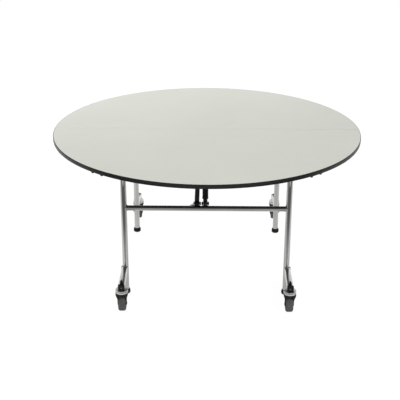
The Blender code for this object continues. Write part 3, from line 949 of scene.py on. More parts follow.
class GrownMesh:
    """A Geometry Nodes tree that grows a repeated or path-led shape on a guide mesh."""

    def __init__(self, name: str, sizes: dict[str, float]) -> None:
        """Starts a tree with a guide, named sizes and a material as inputs.

        Args:
            name: The tree's name.
            sizes: Each named size and its value.
        """
        self.sizes = sizes
        self.tree = bpy.data.node_groups.new(name, "GeometryNodeTree")
        face = self.tree.interface
        face.new_socket("Guide", in_out="INPUT", socket_type="NodeSocketGeometry")
        self.sockets: dict[str, bpy.types.NodeTreeInterfaceSocket] = {}
        for label in sizes:
            self.sockets[label] = face.new_socket(label, in_out="INPUT", socket_type="NodeSocketFloat")
        self.finish_socket = face.new_socket("Finish", in_out="INPUT", socket_type="NodeSocketMaterial")
        face.new_socket("Geometry", in_out="OUTPUT", socket_type="NodeSocketGeometry")
        self.source = self.node("NodeGroupInput")
        self.target = self.node("NodeGroupOutput")

    def given(self, name: str) -> Socket:
        """The socket that gives one of the tree's inputs."""
        return self.source.outputs[name]

    def node(self, kind: str, **values: float | Point3) -> bpy.types.Node:
        """Adds a node and sets inputs; an underscore in a name stands for a space.

        Args:
            kind: The node's type.
            values: The inputs' values by name.

        Returns:
            The node.
        """
        made = self.tree.nodes.new(kind)
        for name, value in values.items():
            made.inputs[name.replace("_", " ")].default_value = value
        return made

    def link(self, source: Socket, target: Socket) -> None:
        """Links two sockets."""
        self.tree.links.new(source, target)

    def close(self, shape: Socket) -> None:
        """Ends the tree in Realize Instances and Set Material.

        Args:
            shape: The shape that the tree has grown.
        """
        real = self.node("GeometryNodeRealizeInstances")
        coat = self.node("GeometryNodeSetMaterial")
        self.link(shape, real.inputs["Geometry"])
        self.link(real.outputs["Geometry"], coat.inputs["Geometry"])
        self.link(self.given("Finish"), coat.inputs["Material"])
        self.link(coat.outputs["Geometry"], self.target.inputs["Geometry"])

    def grow(self, name: str, guide: bpy.types.Mesh, finish: Finish) -> bpy.types.Mesh:
        """Grows the shape and returns it as a plain mesh.

        Args:
            name: The new mesh's name.
            guide: The guide mesh, which is removed.
            finish: The finish that the tree sets.

        Returns:
            The plain mesh.
        """
        holder = bpy.data.objects.new(name + "_guide", guide)
        bpy.context.scene.collection.objects.link(holder)
        modifier = holder.modifiers.new("grow", "NODES")
        modifier.node_group = self.tree
        for label, socket in self.sockets.items():
            modifier[socket.identifier] = self.sizes[label]
        modifier[self.finish_socket.identifier] = finish.material()
        graph = bpy.context.evaluated_depsgraph_get()
        grown = bpy.data.meshes.new_from_object(holder.evaluated_get(graph))
        grown.name = name
        holder.modifiers.remove(modifier)
        bpy.data.objects.remove(holder)
        bpy.data.meshes.remove(guide)
        smooth(grown)
        return grown


def guide_points(name: str, points: list[Vector], closed: bool = False) -> bpy.types.Mesh:
    """A guide mesh of points, joined in a closed loop where asked.

    Args:
        name: The mesh's name.
        points: The points.
        closed: Whether edges join them in a loop.

    Returns:
        The guide mesh.
    """
    mesh = bpy.data.meshes.new(name)
    count = len(points)
    edges = [(step, (step + 1) % count) for step in range(count)] if closed else []
    mesh.from_pydata([tuple(p) for p in points], edges, [])
    return mesh


def screw_tree(name: str, head: float, height: float, washer: float) -> GrownMesh:
    """Screw or pin heads that face down: a tapered head on a washer.

    Args:
        name: The tree's name.
        head: The head's radius.
        height: The head's height.
        washer: The washer's radius.

    Returns:
        The tree; its guide's points are the heads' middles.
    """
    sizes = {
        "Head Radius": head,
        "Head Height": height,
        "Head Taper": 0.62,
        "Washer Radius": washer,
        "Washer Height": 0.0007,
    }
    grown = GrownMesh(name, sizes)
    cone = grown.node("GeometryNodeMeshCone", Vertices=14)
    narrow = reckon(grown.tree, "MULTIPLY", grown.given("Head Radius"), grown.given("Head Taper"))
    grown.link(grown.given("Head Radius"), cone.inputs["Radius Bottom"])
    grown.link(narrow, cone.inputs["Radius Top"])
    grown.link(grown.given("Head Height"), cone.inputs["Depth"])
    disc = grown.node("GeometryNodeMeshCone", Vertices=18)
    grown.link(grown.given("Washer Radius"), disc.inputs["Radius Bottom"])
    grown.link(grown.given("Washer Radius"), disc.inputs["Radius Top"])
    grown.link(grown.given("Washer Height"), disc.inputs["Depth"])
    both = grown.node("GeometryNodeJoinGeometry")
    grown.link(cone.outputs["Mesh"], both.inputs["Geometry"])
    grown.link(disc.outputs["Mesh"], both.inputs["Geometry"])
    spread = grown.node("GeometryNodeInstanceOnPoints", Rotation=(math.pi, 0.0, 0.0))
    grown.link(grown.given("Guide"), spread.inputs["Points"])
    grown.link(both.outputs["Geometry"], spread.inputs["Instance"])
    grown.close(spread.outputs["Instances"])
    return grown


def bead_tree() -> GrownMesh:
    """A weld bead along a closed guide, its ripples a little uneven.

    Returns:
        The tree; its guide is the seam.
    """
    sizes = {"Bead Radius": 0.0026, "Ripple": 0.0009, "Ripple Scale": 420.0, "Ripple Middle": 0.5}
    grown = GrownMesh("weld_bead", sizes)
    path = grown.node("GeometryNodeMeshToCurve")
    grown.link(grown.given("Guide"), path.inputs["Mesh"])
    ring = grown.node("GeometryNodeCurvePrimitiveCircle", Resolution=10)
    grown.link(grown.given("Bead Radius"), ring.inputs["Radius"])
    sweep = grown.node("GeometryNodeCurveToMesh")
    grown.link(path.outputs["Curve"], sweep.inputs["Curve"])
    grown.link(ring.outputs["Curve"], sweep.inputs["Profile Curve"])
    noise = grown.node("ShaderNodeTexNoise")
    grown.link(grown.given("Ripple Scale"), noise.inputs["Scale"])
    centred = reckon(grown.tree, "SUBTRACT", noise.outputs["Fac"], grown.given("Ripple Middle"))
    sized = reckon(grown.tree, "MULTIPLY", centred, grown.given("Ripple"))
    normal = grown.node("GeometryNodeInputNormal")
    push = grown.node("ShaderNodeVectorMath")
    push.operation = "SCALE"
    grown.link(normal.outputs["Normal"], push.inputs["Vector"])
    grown.link(sized, push.inputs["Scale"])
    moved = grown.node("GeometryNodeSetPosition")
    grown.link(sweep.outputs["Mesh"], moved.inputs["Geometry"])
    grown.link(push.outputs["Vector"], moved.inputs["Offset"])
    grown.close(moved.outputs["Geometry"])
    return grown


def rib_tree(count: int) -> GrownMesh:
    """Ribs round a wheel's hub.

    Args:
        count: How many ribs there are.

    Returns:
        The tree; its guide's points are the ribs' middles.
    """
    sizes = {"Rib Length": 0.0150, "Rib Width": 0.0024, "Rib Depth": 0.0292}
    grown = GrownMesh("hub_ribs", sizes)
    box = grown.node("ShaderNodeCombineXYZ")
    for label, axis in zip(sizes, "XYZ", strict=True):
        grown.link(grown.given(label), box.inputs[axis])
    rib = grown.node("GeometryNodeMeshCube")
    grown.link(box.outputs["Vector"], rib.inputs["Size"])
    index = grown.node("GeometryNodeInputIndex")
    angle = reckon(grown.tree, "MULTIPLY", index.outputs["Index"], math.tau / count)
    turn = grown.node("ShaderNodeCombineXYZ")
    grown.link(angle, turn.inputs["Z"])
    spin = grown.node("FunctionNodeEulerToRotation")
    grown.link(turn.outputs["Vector"], spin.inputs["Euler"])
    spread = grown.node("GeometryNodeInstanceOnPoints")
    grown.link(grown.given("Guide"), spread.inputs["Points"])
    grown.link(rib.outputs["Mesh"], spread.inputs["Instance"])
    grown.link(spin.outputs["Rotation"], spread.inputs["Rotation"])
    grown.close(spread.outputs["Instances"])
    return grown


@dataclass
class Workshop:
    """The growing trees that several sub-assemblies share."""

    rib_count: int = 8
    screws: GrownMesh = field(init=False)
    pins: GrownMesh = field(init=False)
    beads: GrownMesh = field(init=False)
    ribs: GrownMesh = field(init=False)

    def __post_init__(self) -> None:
        """Makes the trees."""
        self.screws = screw_tree("screw_heads", head=0.0040, height=0.0024, washer=0.0056)
        self.pins = screw_tree("cap_pins", head=0.0030, height=0.0014, washer=0.0036)
        self.beads = bead_tree()
        self.ribs = rib_tree(self.rib_count)


@dataclass
class HalfTop:
    """One half of the round top: laminate, edge moulding and board."""

    side: Side
    steps: int = 160
    corner_steps: int = 5
    laminate_gap: float = 0.0002
    laminate_edge: float = 0.00012
    edge_round: float = 0.0022
    edge_crown: float = 0.0004

    def half_arc(self, radius: float) -> list[Point2]:
        """The half circle of this side, ended at the seam.

        Args:
            radius: The circle's radius.

        Returns:
            The points, from the right end to the left end for the rear half and the other
            way for the front half.
        """
        lift = math.asin(SIZES.seam / 2 / radius)
        points = arc_points((0.0, 0.0), radius, lift, math.pi - lift, self.steps)
        if self.side is Side.FRONT:
            points = [(x, -y) for x, y in reversed(points)]
        return points

    def laminate(self) -> None:
        """The laminate sheet, its corners just broken."""
        radius = SIZES.top_radius - SIZES.band - self.laminate_gap
        place = Matrix.Translation((0.0, 0.0, SIZES.top_height - SIZES.laminate / 2))
        work = bmesh.new()
        add_slab(work, self.half_arc(radius), SIZES.laminate, place, self.laminate_edge)
        name = self.side.label + "_top_laminate"
        settle(name + "_sheet", to_mesh(name, work), LAMINATE, self.side.top, name)

    def moulding(self) -> None:
        """The edge moulding, rounded above and below and slightly crowned."""
        low, high = SIZES.underside, SIZES.top_height
        outer, inner = SIZES.top_radius, SIZES.top_radius - SIZES.band
        corner = self.edge_round
        bend = outer - corner
        section = [(inner, low), (bend, low)]
        section += arc_points((bend, low + corner), corner, -QUARTER, 0.0, self.corner_steps)[1:]
        section.append((outer + self.edge_crown, (low + high) / 2))
        section += arc_points((bend, high - corner), corner, 0.0, QUARTER, self.corner_steps)
        section.append((inner, high))
        work = bmesh.new()
        rows = []
        for radius, height in section:
            rows.append([work.verts.new((x, y, height)) for x, y in self.half_arc(radius)])
        for step, one in enumerate(rows):
            two = rows[(step + 1) % len(rows)]
            for spot in range(self.steps):
                work.faces.new((one[spot], one[spot + 1], two[spot + 1], two[spot]))
        work.faces.new([row[0] for row in rows])
        work.faces.new([row[-1] for row in reversed(rows)])
        name = self.side.label + "_edge_band"
        settle(name + "_moulding", to_mesh(name, work), EDGING, self.side.top, name)

    def board(self, nodes: dict[str, bpy.types.Object]) -> None:
        """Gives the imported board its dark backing."""
        core = nodes[self.side.label + "_top_core"]
        core.material_slots[0].material = BACKING.material()

    def build(self, nodes: dict[str, bpy.types.Object]) -> None:
        """Builds the half and dresses it.

        Args:
            nodes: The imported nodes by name.
        """
        self.laminate()
        self.moulding()
        self.board(nodes)


@dataclass
class FramePart:
    """A part of one leg frame."""

    side: Side

    @property
    def y(self) -> float:
        """The frame's place along Y."""
        return self.side.value * SIZES.leg_y

    def stand(self, hand: Hand) -> Matrix:
        """The matrix that stands a turned piece on a leg's axis."""
        return Matrix.Translation((hand.value * SIZES.leg_x, self.y, 0.0))


@dataclass
class RubberFoot(FramePart):
    """The rubber foot of one leg: a cup with a moulded line that swells to a rounded sole."""

    hand: Hand
    radius: float = 0.0203
    top: float = 0.0175
    sole: float = 0.0160
    waist: float = 0.009
    height: float = 0.0225
    floor: float = 0.006
    gap: float = 0.0002
    lip: float = 0.0005
    rim: float = 0.02
    bulge: float = 0.6
    line_start: float = 0.19
    line_end: float = 0.24
    line_slope: float = 0.03
    line_depth: float = 0.0006
    sole_steps: int = 8

    def build(self) -> None:
        """Builds the foot and dresses it."""
        hole = SIZES.leg_radius + self.gap
        profile = [(0.0, self.floor), (hole, self.floor), (hole, self.height)]
        profile.append((self.top - self.lip, self.height))
        # The share of the way down to the waist, and how deep the line is there
        flank = [
            (self.rim, 0.0),
            (self.line_start - self.line_slope, 0.0),
            (self.line_start, self.line_depth),
            (self.line_end, self.line_depth),
            (self.line_end + self.line_slope, 0.0),
            (self.bulge, 0.0),
        ]
        drop = self.height - self.waist
        for share, sink in flank:
            swell = (self.radius - self.top) * math.sin(QUARTER * share)
            profile.append((self.top + swell - sink, self.height - drop * share))
        swell = self.radius - self.sole
        for across, rise in arc_points((0.0, 0.0), 1.0, 0.0, QUARTER, self.sole_steps):
            profile.append((self.sole + swell * across, self.waist * (1.0 - rise)))
        profile.append((0.0, 0.0))
        work = bmesh.new()
        add_turned(work, profile, self.stand(self.hand))
        name = corner_name(self.side, self.hand) + "_foot"
        settle(name + "_cup", to_mesh(name, work), FOOT_RUBBER, self.side.frame, name)


@dataclass
class ArmCap(FramePart):
    """The moulded cap over one castor arm's end, with a small boss in its middle."""

    hand: Hand
    width: float = 0.031
    depth: float = 0.004
    sleeve: float = 0.006
    corner: float = 0.0034
    edge: float = 0.0015
    boss_radius: float = 0.0050
    boss_rise: float = 0.0005
    boss_slope: float = 0.0006
    boss_edge: float = 0.0003
    boss_steps: int = 24

    @property
    def reach(self) -> float:
        """How far from the seam the boss ends."""
        return SIZES.arm_end + self.depth + self.boss_rise

    def build(self) -> None:
        """Builds the cap and dresses it."""
        half, sign = self.width / 2, self.side.value
        outline = rounded_rectangle((-half, -half), (half, half), self.corner)
        start = sign * (SIZES.arm_end - self.sleeve)
        end = sign * (SIZES.arm_end + self.depth)
        x = self.hand.value * SIZES.arm_x
        middle = Matrix.Translation((x, (start + end) / 2, SIZES.arm_z))
        work = bmesh.new()
        add_slab(work, outline, abs(end - start), middle @ FACING, self.edge)
        radius, rise = self.boss_radius, self.boss_rise
        boss = [(0.0, 0.0), (radius, 0.0), (radius, rise - self.boss_edge)]
        boss += [(radius - self.boss_slope, rise), (0.0, rise)]
        face = Vector((x, end, SIZES.arm_z))
        add_turned(work, boss, along(face, face + Vector((0.0, sign, 0.0))), self.boss_steps)
        name = corner_name(self.side, self.hand) + "_arm_cap"
        settle(name + "_moulding", to_mesh(name, work), CAP_PLASTIC, self.side.frame, name)


@dataclass(frozen=True)
class Clevis:
    """The pair of ears on a crossbar that holds one strut's eye.

    Attributes:
        x: The middle between the ears.
        half: Half the width between them.
        bright: The side, if any, whose ear is chromed with the crossbar and has no bolt head.
    """

    x: float
    half: float
    bright: Hand | None = None


@dataclass
class StrutMount(FramePart):
    """What holds the struts on a crossbar: ears, saddles, a gusset and bolts."""

    link_half: float = 0.01225
    spring_half: float = 0.0105
    ear_plate: float = 0.004
    ear_edge: float = 0.0007
    ear_radius: float = 0.009
    ear_root: float = 0.010
    ear_rise: float = 0.006
    saddle_plate: float = 0.0010
    saddle_angle: float = math.radians(25.0)
    saddle_edge: float = 0.0003
    saddle_steps: int = 8
    gusset_reach: float = 0.021
    gusset_plate: float = 0.005
    gusset_edge: float = 0.0006
    gusset_seat: float = 0.8
    gusset_low: float = 0.0006
    gusset_high: float = 0.002
    pin_radius: float = 0.004
    pin_edge: float = 0.0003
    bolt_across: float = 0.0125
    bolt_head: float = 0.0034
    washer_radius: float = 0.0078
    washer_depth: float = 0.0009
    washer_edge: float = 0.0002

    @property
    def link(self) -> Clevis:
        """The link's clevis."""
        sign = self.side.value
        return Clevis(sign * SIZES.link_x, self.link_half, bright=Hand(sign))

    @property
    def spring(self) -> Clevis:
        """The spring's clevis."""
        return Clevis(self.side.value * SIZES.spring_x, self.spring_half)

    def ear(self, work: WorkMesh, clevis: Clevis, toward: Hand) -> None:
        """Adds one ear that stands on the crossbar.

        Args:
            work: The working mesh.
            clevis: The clevis that it belongs to.
            toward: Which ear of the clevis.
        """
        x = clevis.x + toward.value * (clevis.half + self.ear_plate / 2)
        root = SIZES.crossbar_z + self.ear_rise
        near, far = self.y - self.ear_root, self.y + self.ear_root
        outline = eye_plate((near, root), (far, root), (self.y, SIZES.eye_z), self.ear_radius)
        add_slab(work, outline, self.ear_plate, upright(x), self.ear_edge)

    def bright_ear(self, work: WorkMesh) -> None:
        """Adds the link's bright ear and the small gusset that stays it.

        Args:
            work: The crossbar's working mesh.
        """
        link = self.link
        self.ear(work, link, link.bright)
        sign = link.bright.value
        start = link.x + sign * (link.half + self.ear_plate / 2)
        end = start + sign * (self.gusset_reach + self.ear_plate / 2)
        seat = SIZES.crossbar_z + SIZES.crossbar_radius * self.gusset_seat
        low = SIZES.crossbar_z + SIZES.crossbar_radius + self.gusset_low
        high = SIZES.eye_z + self.gusset_high
        corners = [(start, seat), (end, seat), (end, low), (start, high)]
        place = Matrix.Translation((0.0, self.y, 0.0)) @ FACING
        add_slab(work, corners, self.gusset_plate, place, self.gusset_edge)

    def saddles(self) -> None:
        """The black saddles on the crossbar, with the black ears that hold the struts' eyes."""
        seat = (self.y, SIZES.crossbar_z)
        low, high = QUARTER - self.saddle_angle, QUARTER + self.saddle_angle
        over = SIZES.crossbar_radius + self.saddle_plate
        under = SIZES.crossbar_radius - self.saddle_plate
        outline = arc_points(seat, over, low, high, self.saddle_steps)
        outline += arc_points(seat, under, high, low, self.saddle_steps)
        work = bmesh.new()
        for clevis in (self.link, self.spring):
            width = (clevis.half + self.ear_plate) * 2
            add_slab(work, outline, width, upright(clevis.x), self.saddle_edge)
            for toward in Hand:
                if toward is not clevis.bright:
                    self.ear(work, clevis, toward)
        name = self.side.label + "_strut_saddles"
        settle(name, to_mesh(name, work), ENAMEL, self.side.frame)

    def bolts(self) -> None:
        """The black bolts through the ears, with washers and heads beside the black ears."""
        work = bmesh.new()
        for clevis in (self.link, self.spring):
            middle = Vector((clevis.x, self.y, SIZES.eye_z))
            outer = Vector((clevis.half + self.ear_plate, 0.0, 0.0))
            add_rod(work, middle - outer, middle + outer, self.pin_radius, self.pin_edge)
            for toward in Hand:
                if toward is clevis.bright:
                    continue
                out = Vector((toward.value, 0.0, 0.0))
                seat = middle + outer * toward.value
                washer_end = seat + out * self.washer_depth
                add_rod(work, seat, washer_end, self.washer_radius, self.washer_edge)
                add_hex(work, seat, seat + out * self.bolt_head, self.bolt_across)
        name = self.side.label + "_ear_bolts"
        settle(name, to_mesh(name, work), ENAMEL, self.side.frame)


@dataclass
class LegFrame(FramePart):
    """One leg frame: two legs on rubber feet, the crossbar and the capped castor arms."""

    shop: Workshop
    leg_low: float = 0.0063
    leg_high: float = 0.695
    wall: float = 0.0018
    tube_edge: float = 0.0006
    tube_steps: int = 64
    bar_reach: float = 0.6
    arm_power: float = 5.0
    arm_root: float = 0.4
    arm_edge: float = 0.0004
    arm_crease: float = 25.0
    weld_steps: int = 40
    weld_off: float = 0.0006
    seam_reach: float = 0.97

    def leg(self, hand: Hand) -> None:
        """One leg: an open tube with broken edges.

        Args:
            hand: Which leg of the frame.
        """
        outer, inner = SIZES.leg_radius, SIZES.leg_radius - self.wall
        low, high, edge = self.leg_low, self.leg_high, self.tube_edge
        profile = [(inner, low), (outer - edge, low), (outer, low + edge)]
        profile += [(outer, high - edge), (outer - edge, high), (inner, high)]
        work = bmesh.new()
        add_turned(work, profile, self.stand(hand), self.tube_steps)
        name = corner_name(self.side, hand) + "_leg"
        settle(name + "_tube", to_mesh(name, work), CHROME, self.side.frame, name)

    def arm(self, hand: Hand) -> None:
        """A square castor arm with rounded corners, run into its leg.

        Args:
            hand: Which arm of the frame.
        """
        outline = soft_square(SIZES.arm_side / 2, self.arm_power)
        near = self.y + self.side.value * SIZES.leg_radius * self.arm_root
        far = self.side.value * SIZES.arm_end
        middle = Matrix.Translation((hand.value * SIZES.arm_x, (near + far) / 2, SIZES.arm_z))
        work = bmesh.new()
        add_slab(work, outline, abs(far - near), middle @ FACING, self.arm_edge)
        name = corner_name(self.side, hand) + "_castor_arm"
        settle(name + "_tube", to_mesh(name, work, self.arm_crease), BRIGHT_ZINC, self.side.frame, name)

    def cap_pins(self, reach: float) -> None:
        """The pin through the middle of each cap.

        Args:
            reach: How far from the seam the caps' bosses end.
        """
        name = self.side.label + "_cap_pins"
        spots = [Vector((hand.value * SIZES.arm_x, 0.0, 0.0)) for hand in Hand]
        mesh = self.shop.pins.grow(name, guide_points(name + "_spots", spots), ZINC)
        turn = Matrix.Rotation(self.side.value * QUARTER, 4, "X")
        mesh.transform(Matrix.Translation((0.0, self.side.value * reach, SIZES.arm_z)) @ turn)
        settle(name, mesh, ZINC, self.side.frame)

    def crossbar(self, mount: StrutMount) -> None:
        """The crossbar tube with the link's bright outer ear and its gusset.

        Args:
            mount: What holds the struts on it.
        """
        reach = SIZES.leg_x - SIZES.leg_radius * self.bar_reach
        z = SIZES.crossbar_z
        work = bmesh.new()
        add_rod(work, Vector((-reach, self.y, z)), Vector((reach, self.y, z)), SIZES.crossbar_radius)
        mount.bright_ear(work)
        name = self.side.label + "_crossbar"
        settle(name + "_tube", to_mesh(name, work), CHROME, self.side.frame, name)

    def bar_seam(self, hand: Hand) -> list[Vector]:
        """The seam where the crossbar meets a leg.

        Args:
            hand: Which leg of the frame.

        Returns:
            The seam's points, as a closed loop.
        """
        loop = []
        for rise, off in ring_points(SIZES.crossbar_radius, self.weld_steps):
            out = math.sqrt(SIZES.leg_radius**2 - off**2)
            x = hand.value * (SIZES.leg_x - out - self.weld_off)
            loop.append(Vector((x, self.y + off, SIZES.crossbar_z + rise)))
        return loop

    def arm_seam(self, hand: Hand) -> list[Vector]:
        """The seam where an arm meets its leg.

        Args:
            hand: Which leg of the frame.

        Returns:
            The seam's points, as a closed loop.
        """
        reach = SIZES.leg_radius * self.seam_reach
        loop = []
        for across, rise in soft_square(SIZES.arm_side / 2, self.arm_power):
            x = hand.value * SIZES.arm_x + across
            off = max(-reach, min(reach, x - hand.value * SIZES.leg_x))
            out = math.sqrt(SIZES.leg_radius**2 - off**2)
            loop.append(Vector((x, self.y + self.side.value * out, SIZES.arm_z + rise)))
        return loop

    def welds(self) -> None:
        """The weld beads where the crossbar and the castor arms meet the legs."""
        loops = []
        for hand in Hand:
            loops += [self.bar_seam(hand), self.arm_seam(hand)]
        for index, loop in enumerate(loops):
            name = f"{self.side.label}_weld_{index}"
            path = guide_points(name + "_path", loop, closed=True)
            settle(name, self.shop.beads.grow(name, path, CHROME), CHROME, self.side.frame)

    def build(self) -> None:
        """Builds the frame and dresses it."""
        caps = [ArmCap(self.side, hand) for hand in Hand]
        for cap in caps:
            self.leg(cap.hand)
            RubberFoot(self.side, cap.hand).build()
            self.arm(cap.hand)
            cap.build()
        self.cap_pins(caps[0].reach)
        mount = StrutMount(self.side)
        self.crossbar(mount)
        mount.saddles()
        mount.bolts()
        self.welds()


@dataclass
class CastorPart:
    """A part of the castor at one corner."""

    side: Side
    hand: Hand

    @property
    def label(self) -> str:
        """The corner's words in node names."""
        return corner_name(self.side, self.hand)

    @property
    def axis(self) -> Vector:
        """The swivel axis at floor level."""
        return Vector((self.hand.value * SIZES.arm_x, self.side.value * SIZES.swivel_y, 0.0))

    @property
    def axle(self) -> Vector:
        """The middle of the wheel."""
        return self.axis + Vector((0.0, SIZES.trail, SIZES.axle_z))

    def on_axis(self, height: float) -> Vector:
        """The point of the swivel axis at a height."""
        return self.axis + Vector((0.0, 0.0, height))


@dataclass
class CastorHead(CastorPart):
    """The bright swivel head under an arm, and the acorn nut on the arm that holds its stem."""

    radius: float = 0.0295
    plate: float = 0.0062
    gap: float = 0.0008
    rim_round: float = 0.0010
    ease: float = 0.0003
    steps: int = 64
    groove: float = 0.0024
    groove_edge: float = 0.0007
    groove_slope: float = 0.0002
    stem_radius: float = 0.006
    stem_length: float = 0.008
    neck_radius: float = 0.012
    neck_sink: float = 0.001
    neck_edge: float = 0.0002
    flange_radius: float = 0.0082
    flange_depth: float = 0.0014
    flange_edge: float = 0.0003
    nut_across: float = 0.0130
    nut_flat: float = 0.0075
    nut_top: float = 0.0165
    dome_radius: float = 0.0060
    dome_seat: float = 0.92
    dome_rows: int = 8
    dome_steps: int = 24

    def head(self) -> None:
        """The head: a plate, a groove, the race and the stem below."""
        top, low = SIZES.arm_bottom - self.gap, SIZES.head_bottom
        plate = top - self.plate
        race = plate - self.groove
        full, inner = self.radius, self.radius - self.groove
        turn, ease, edge = self.rim_round, self.ease, self.groove_edge
        profile = [(0.0, top), (full - turn, top), (full - ease, top - ease), (full, top - turn)]
        profile += [(full, plate + edge), (full - edge, plate)]
        profile += [(inner, plate - self.groove_slope), (inner, race + self.groove_slope)]
        profile += [(full - edge, race), (full, race - edge)]
        profile += [(full, low + turn), (full - ease, low + ease), (full - turn, low)]
        stem_end = low - self.stem_length
        profile += [(self.stem_radius, low), (self.stem_radius, stem_end), (0.0, stem_end)]
        work = bmesh.new()
        add_turned(work, profile, Matrix.Translation(self.axis), self.steps)
        neck = self.on_axis(top - self.neck_sink), self.on_axis(SIZES.arm_bottom)
        add_rod(work, *neck, self.neck_radius, self.neck_edge)
        name = self.label + "_castor_head"
        settle(name + "_race", to_mesh(name, work), SATIN_ZINC, self.side.frame, name)

    def nut(self) -> None:
        """The black acorn nut on its flange."""
        seat = SIZES.arm_top
        flat_start = seat + self.flange_depth
        work = bmesh.new()
        flange = self.on_axis(seat), self.on_axis(flat_start)
        add_rod(work, *flange, self.flange_radius, self.flange_edge)
        flats = self.on_axis(flat_start), self.on_axis(flat_start + self.nut_flat)
        add_hex(work, *flats, self.nut_across)
        start = self.flange_depth + self.nut_flat * self.dome_seat
        rise = self.nut_top - start
        dome = [(0.0, start)]
        for across, up in arc_points((0.0, 0.0), 1.0, 0.0, QUARTER, self.dome_rows)[:-1]:
            dome.append((self.dome_radius * across, start + rise * up))
        dome.append((0.0, self.nut_top))
        add_turned(work, dome, Matrix.Translation(self.on_axis(seat)), self.dome_steps)
        name = self.label + "_stem_nut"
        settle(name, to_mesh(name, work), ENAMEL, self.side.frame)

    def build(self) -> None:
        """Builds the head and the nut and dresses them."""
        self.head()
        self.nut()


@dataclass(frozen=True)
class CheekLevel:
    """One level of a fork's cheek.

    Attributes:
        across: How far out the sheet's middle is from the swivel axis.
        height: The level's height.
        lead: Where the leading edge is, along Y from the swivel axis.
        tail: Where the trailing edge is.
    """

    across: float
    height: float
    lead: float
    tail: float


@dataclass
class CastorFork(CastorPart):
    """The pressed fork: a crown, two cheeks drawn in to the axle, and the axle's rivet."""

    half: float = 0.0295
    axle_half: float = 0.0203
    sheet: float = 0.0024
    crown: float = 0.006
    crown_gap: float = 0.0005
    crown_front: float = -0.024
    crown_back: float = 0.029
    crown_corner: float = 0.020
    crown_steps: int = 12
    crown_edge: float = 0.0018
    cheeks: tuple[CheekLevel, ...] = (
        CheekLevel(0.02806, 0.0985, lead=-0.0125, tail=0.0235),
        CheekLevel(0.02756, 0.0905, lead=-0.0125, tail=0.0233),
        CheekLevel(0.0238, 0.0790, lead=-0.0120, tail=0.0228),
        CheekLevel(0.0209, 0.0710, lead=-0.0105, tail=0.0222),
        CheekLevel(0.0203, 0.0630, lead=-0.0075, tail=0.0214),
        CheekLevel(0.0203, 0.0520, lead=-0.0025, tail=0.0205),
    )
    eye: float = 0.010
    eye_turn: float = math.radians(84.375)
    eye_steps: int = 6
    flange: tuple[float, ...] = (0.0190, 0.0175, 0.0085, 0.0034, 0.0006)
    axle_radius: float = 0.004
    axle_edge: float = 0.0003
    rivet: tuple[Point2, ...] = (
        (0.0, -0.0004), (0.0066, -0.0004), (0.0066, 0.0004),
        (0.0050, 0.0012), (0.0026, 0.0016), (0.0, 0.0017),
    )
    rivet_steps: int = 24

    def levels(self) -> list[CheekLevel]:
        """The levels of a cheek, which bends in below the crown and is round at the axle.

        Returns:
            The levels, from the crown down.
        """
        levels = list(self.cheeks)
        near, centre = self.axle_half, (0.0, SIZES.axle_z)
        for reach, height in arc_points(centre, self.eye, 0.0, -self.eye_turn, self.eye_steps):
            levels.append(CheekLevel(near, height, SIZES.trail - reach, SIZES.trail + reach))
        return levels

    def ring(self, toward: Hand, height: float, sides: Point2, ends: Point2) -> list[Vector]:
        """The corners of a level rectangle beside the swivel axis.

        Args:
            toward: Which way it lies along X.
            height: Its height.
            sides: Its inner and outer side, out from the axis.
            ends: Its leading and trailing end, along Y from the axis.

        Returns:
            The four corners in order round.
        """
        (inner, outer), (lead, tail) = sides, ends
        corners = ((inner, lead), (outer, lead), (outer, tail), (inner, tail))
        return [self.axis + Vector((toward.value * x, y, height)) for x, y in corners]

    def cheek(self, work: WorkMesh, toward: Hand) -> None:
        """Adds one cheek and the flange on its leading edge.

        Args:
            work: The fork's working mesh.
            toward: Which way the cheek lies along X.
        """
        thick = self.sheet / 2
        web = []
        for level in self.levels():
            sides = level.across - thick, level.across + thick
            web.append(self.ring(toward, level.height, sides, (level.lead, level.tail)))
        add_loft(work, web)
        flange = []
        for level, width in zip(self.levels(), self.flange):
            sides = level.across - thick - width, level.across
            ends = level.lead, level.lead + self.sheet
            flange.append(self.ring(toward, level.height, sides, ends))
        add_loft(work, flange)

    def build(self) -> None:
        """Builds the fork and dresses it."""
        low, high = (-self.half, self.crown_front), (self.half, self.crown_back)
        outline = rounded_rectangle(low, high, self.crown_corner, self.crown_steps)
        middle = SIZES.head_bottom - self.crown_gap - self.crown / 2
        work = bmesh.new()
        add_slab(work, outline, self.crown, Matrix.Translation(self.on_axis(middle)), self.crown_edge)
        for toward in Hand:
            self.cheek(work, toward)
            out = Vector((toward.value, 0.0, 0.0))
            seat = self.axle + out * (self.axle_half + self.sheet / 2)
            add_turned(work, self.rivet, along(seat, seat + out), self.rivet_steps)
        half = Vector((self.axle_half, 0.0, 0.0))
        add_rod(work, self.axle - half, self.axle + half, self.axle_radius, self.axle_edge)
        name = self.label + "_castor_fork"
        settle(name + "_pressing", to_mesh(name, work), ENAMEL, self.label + "_fork", name)


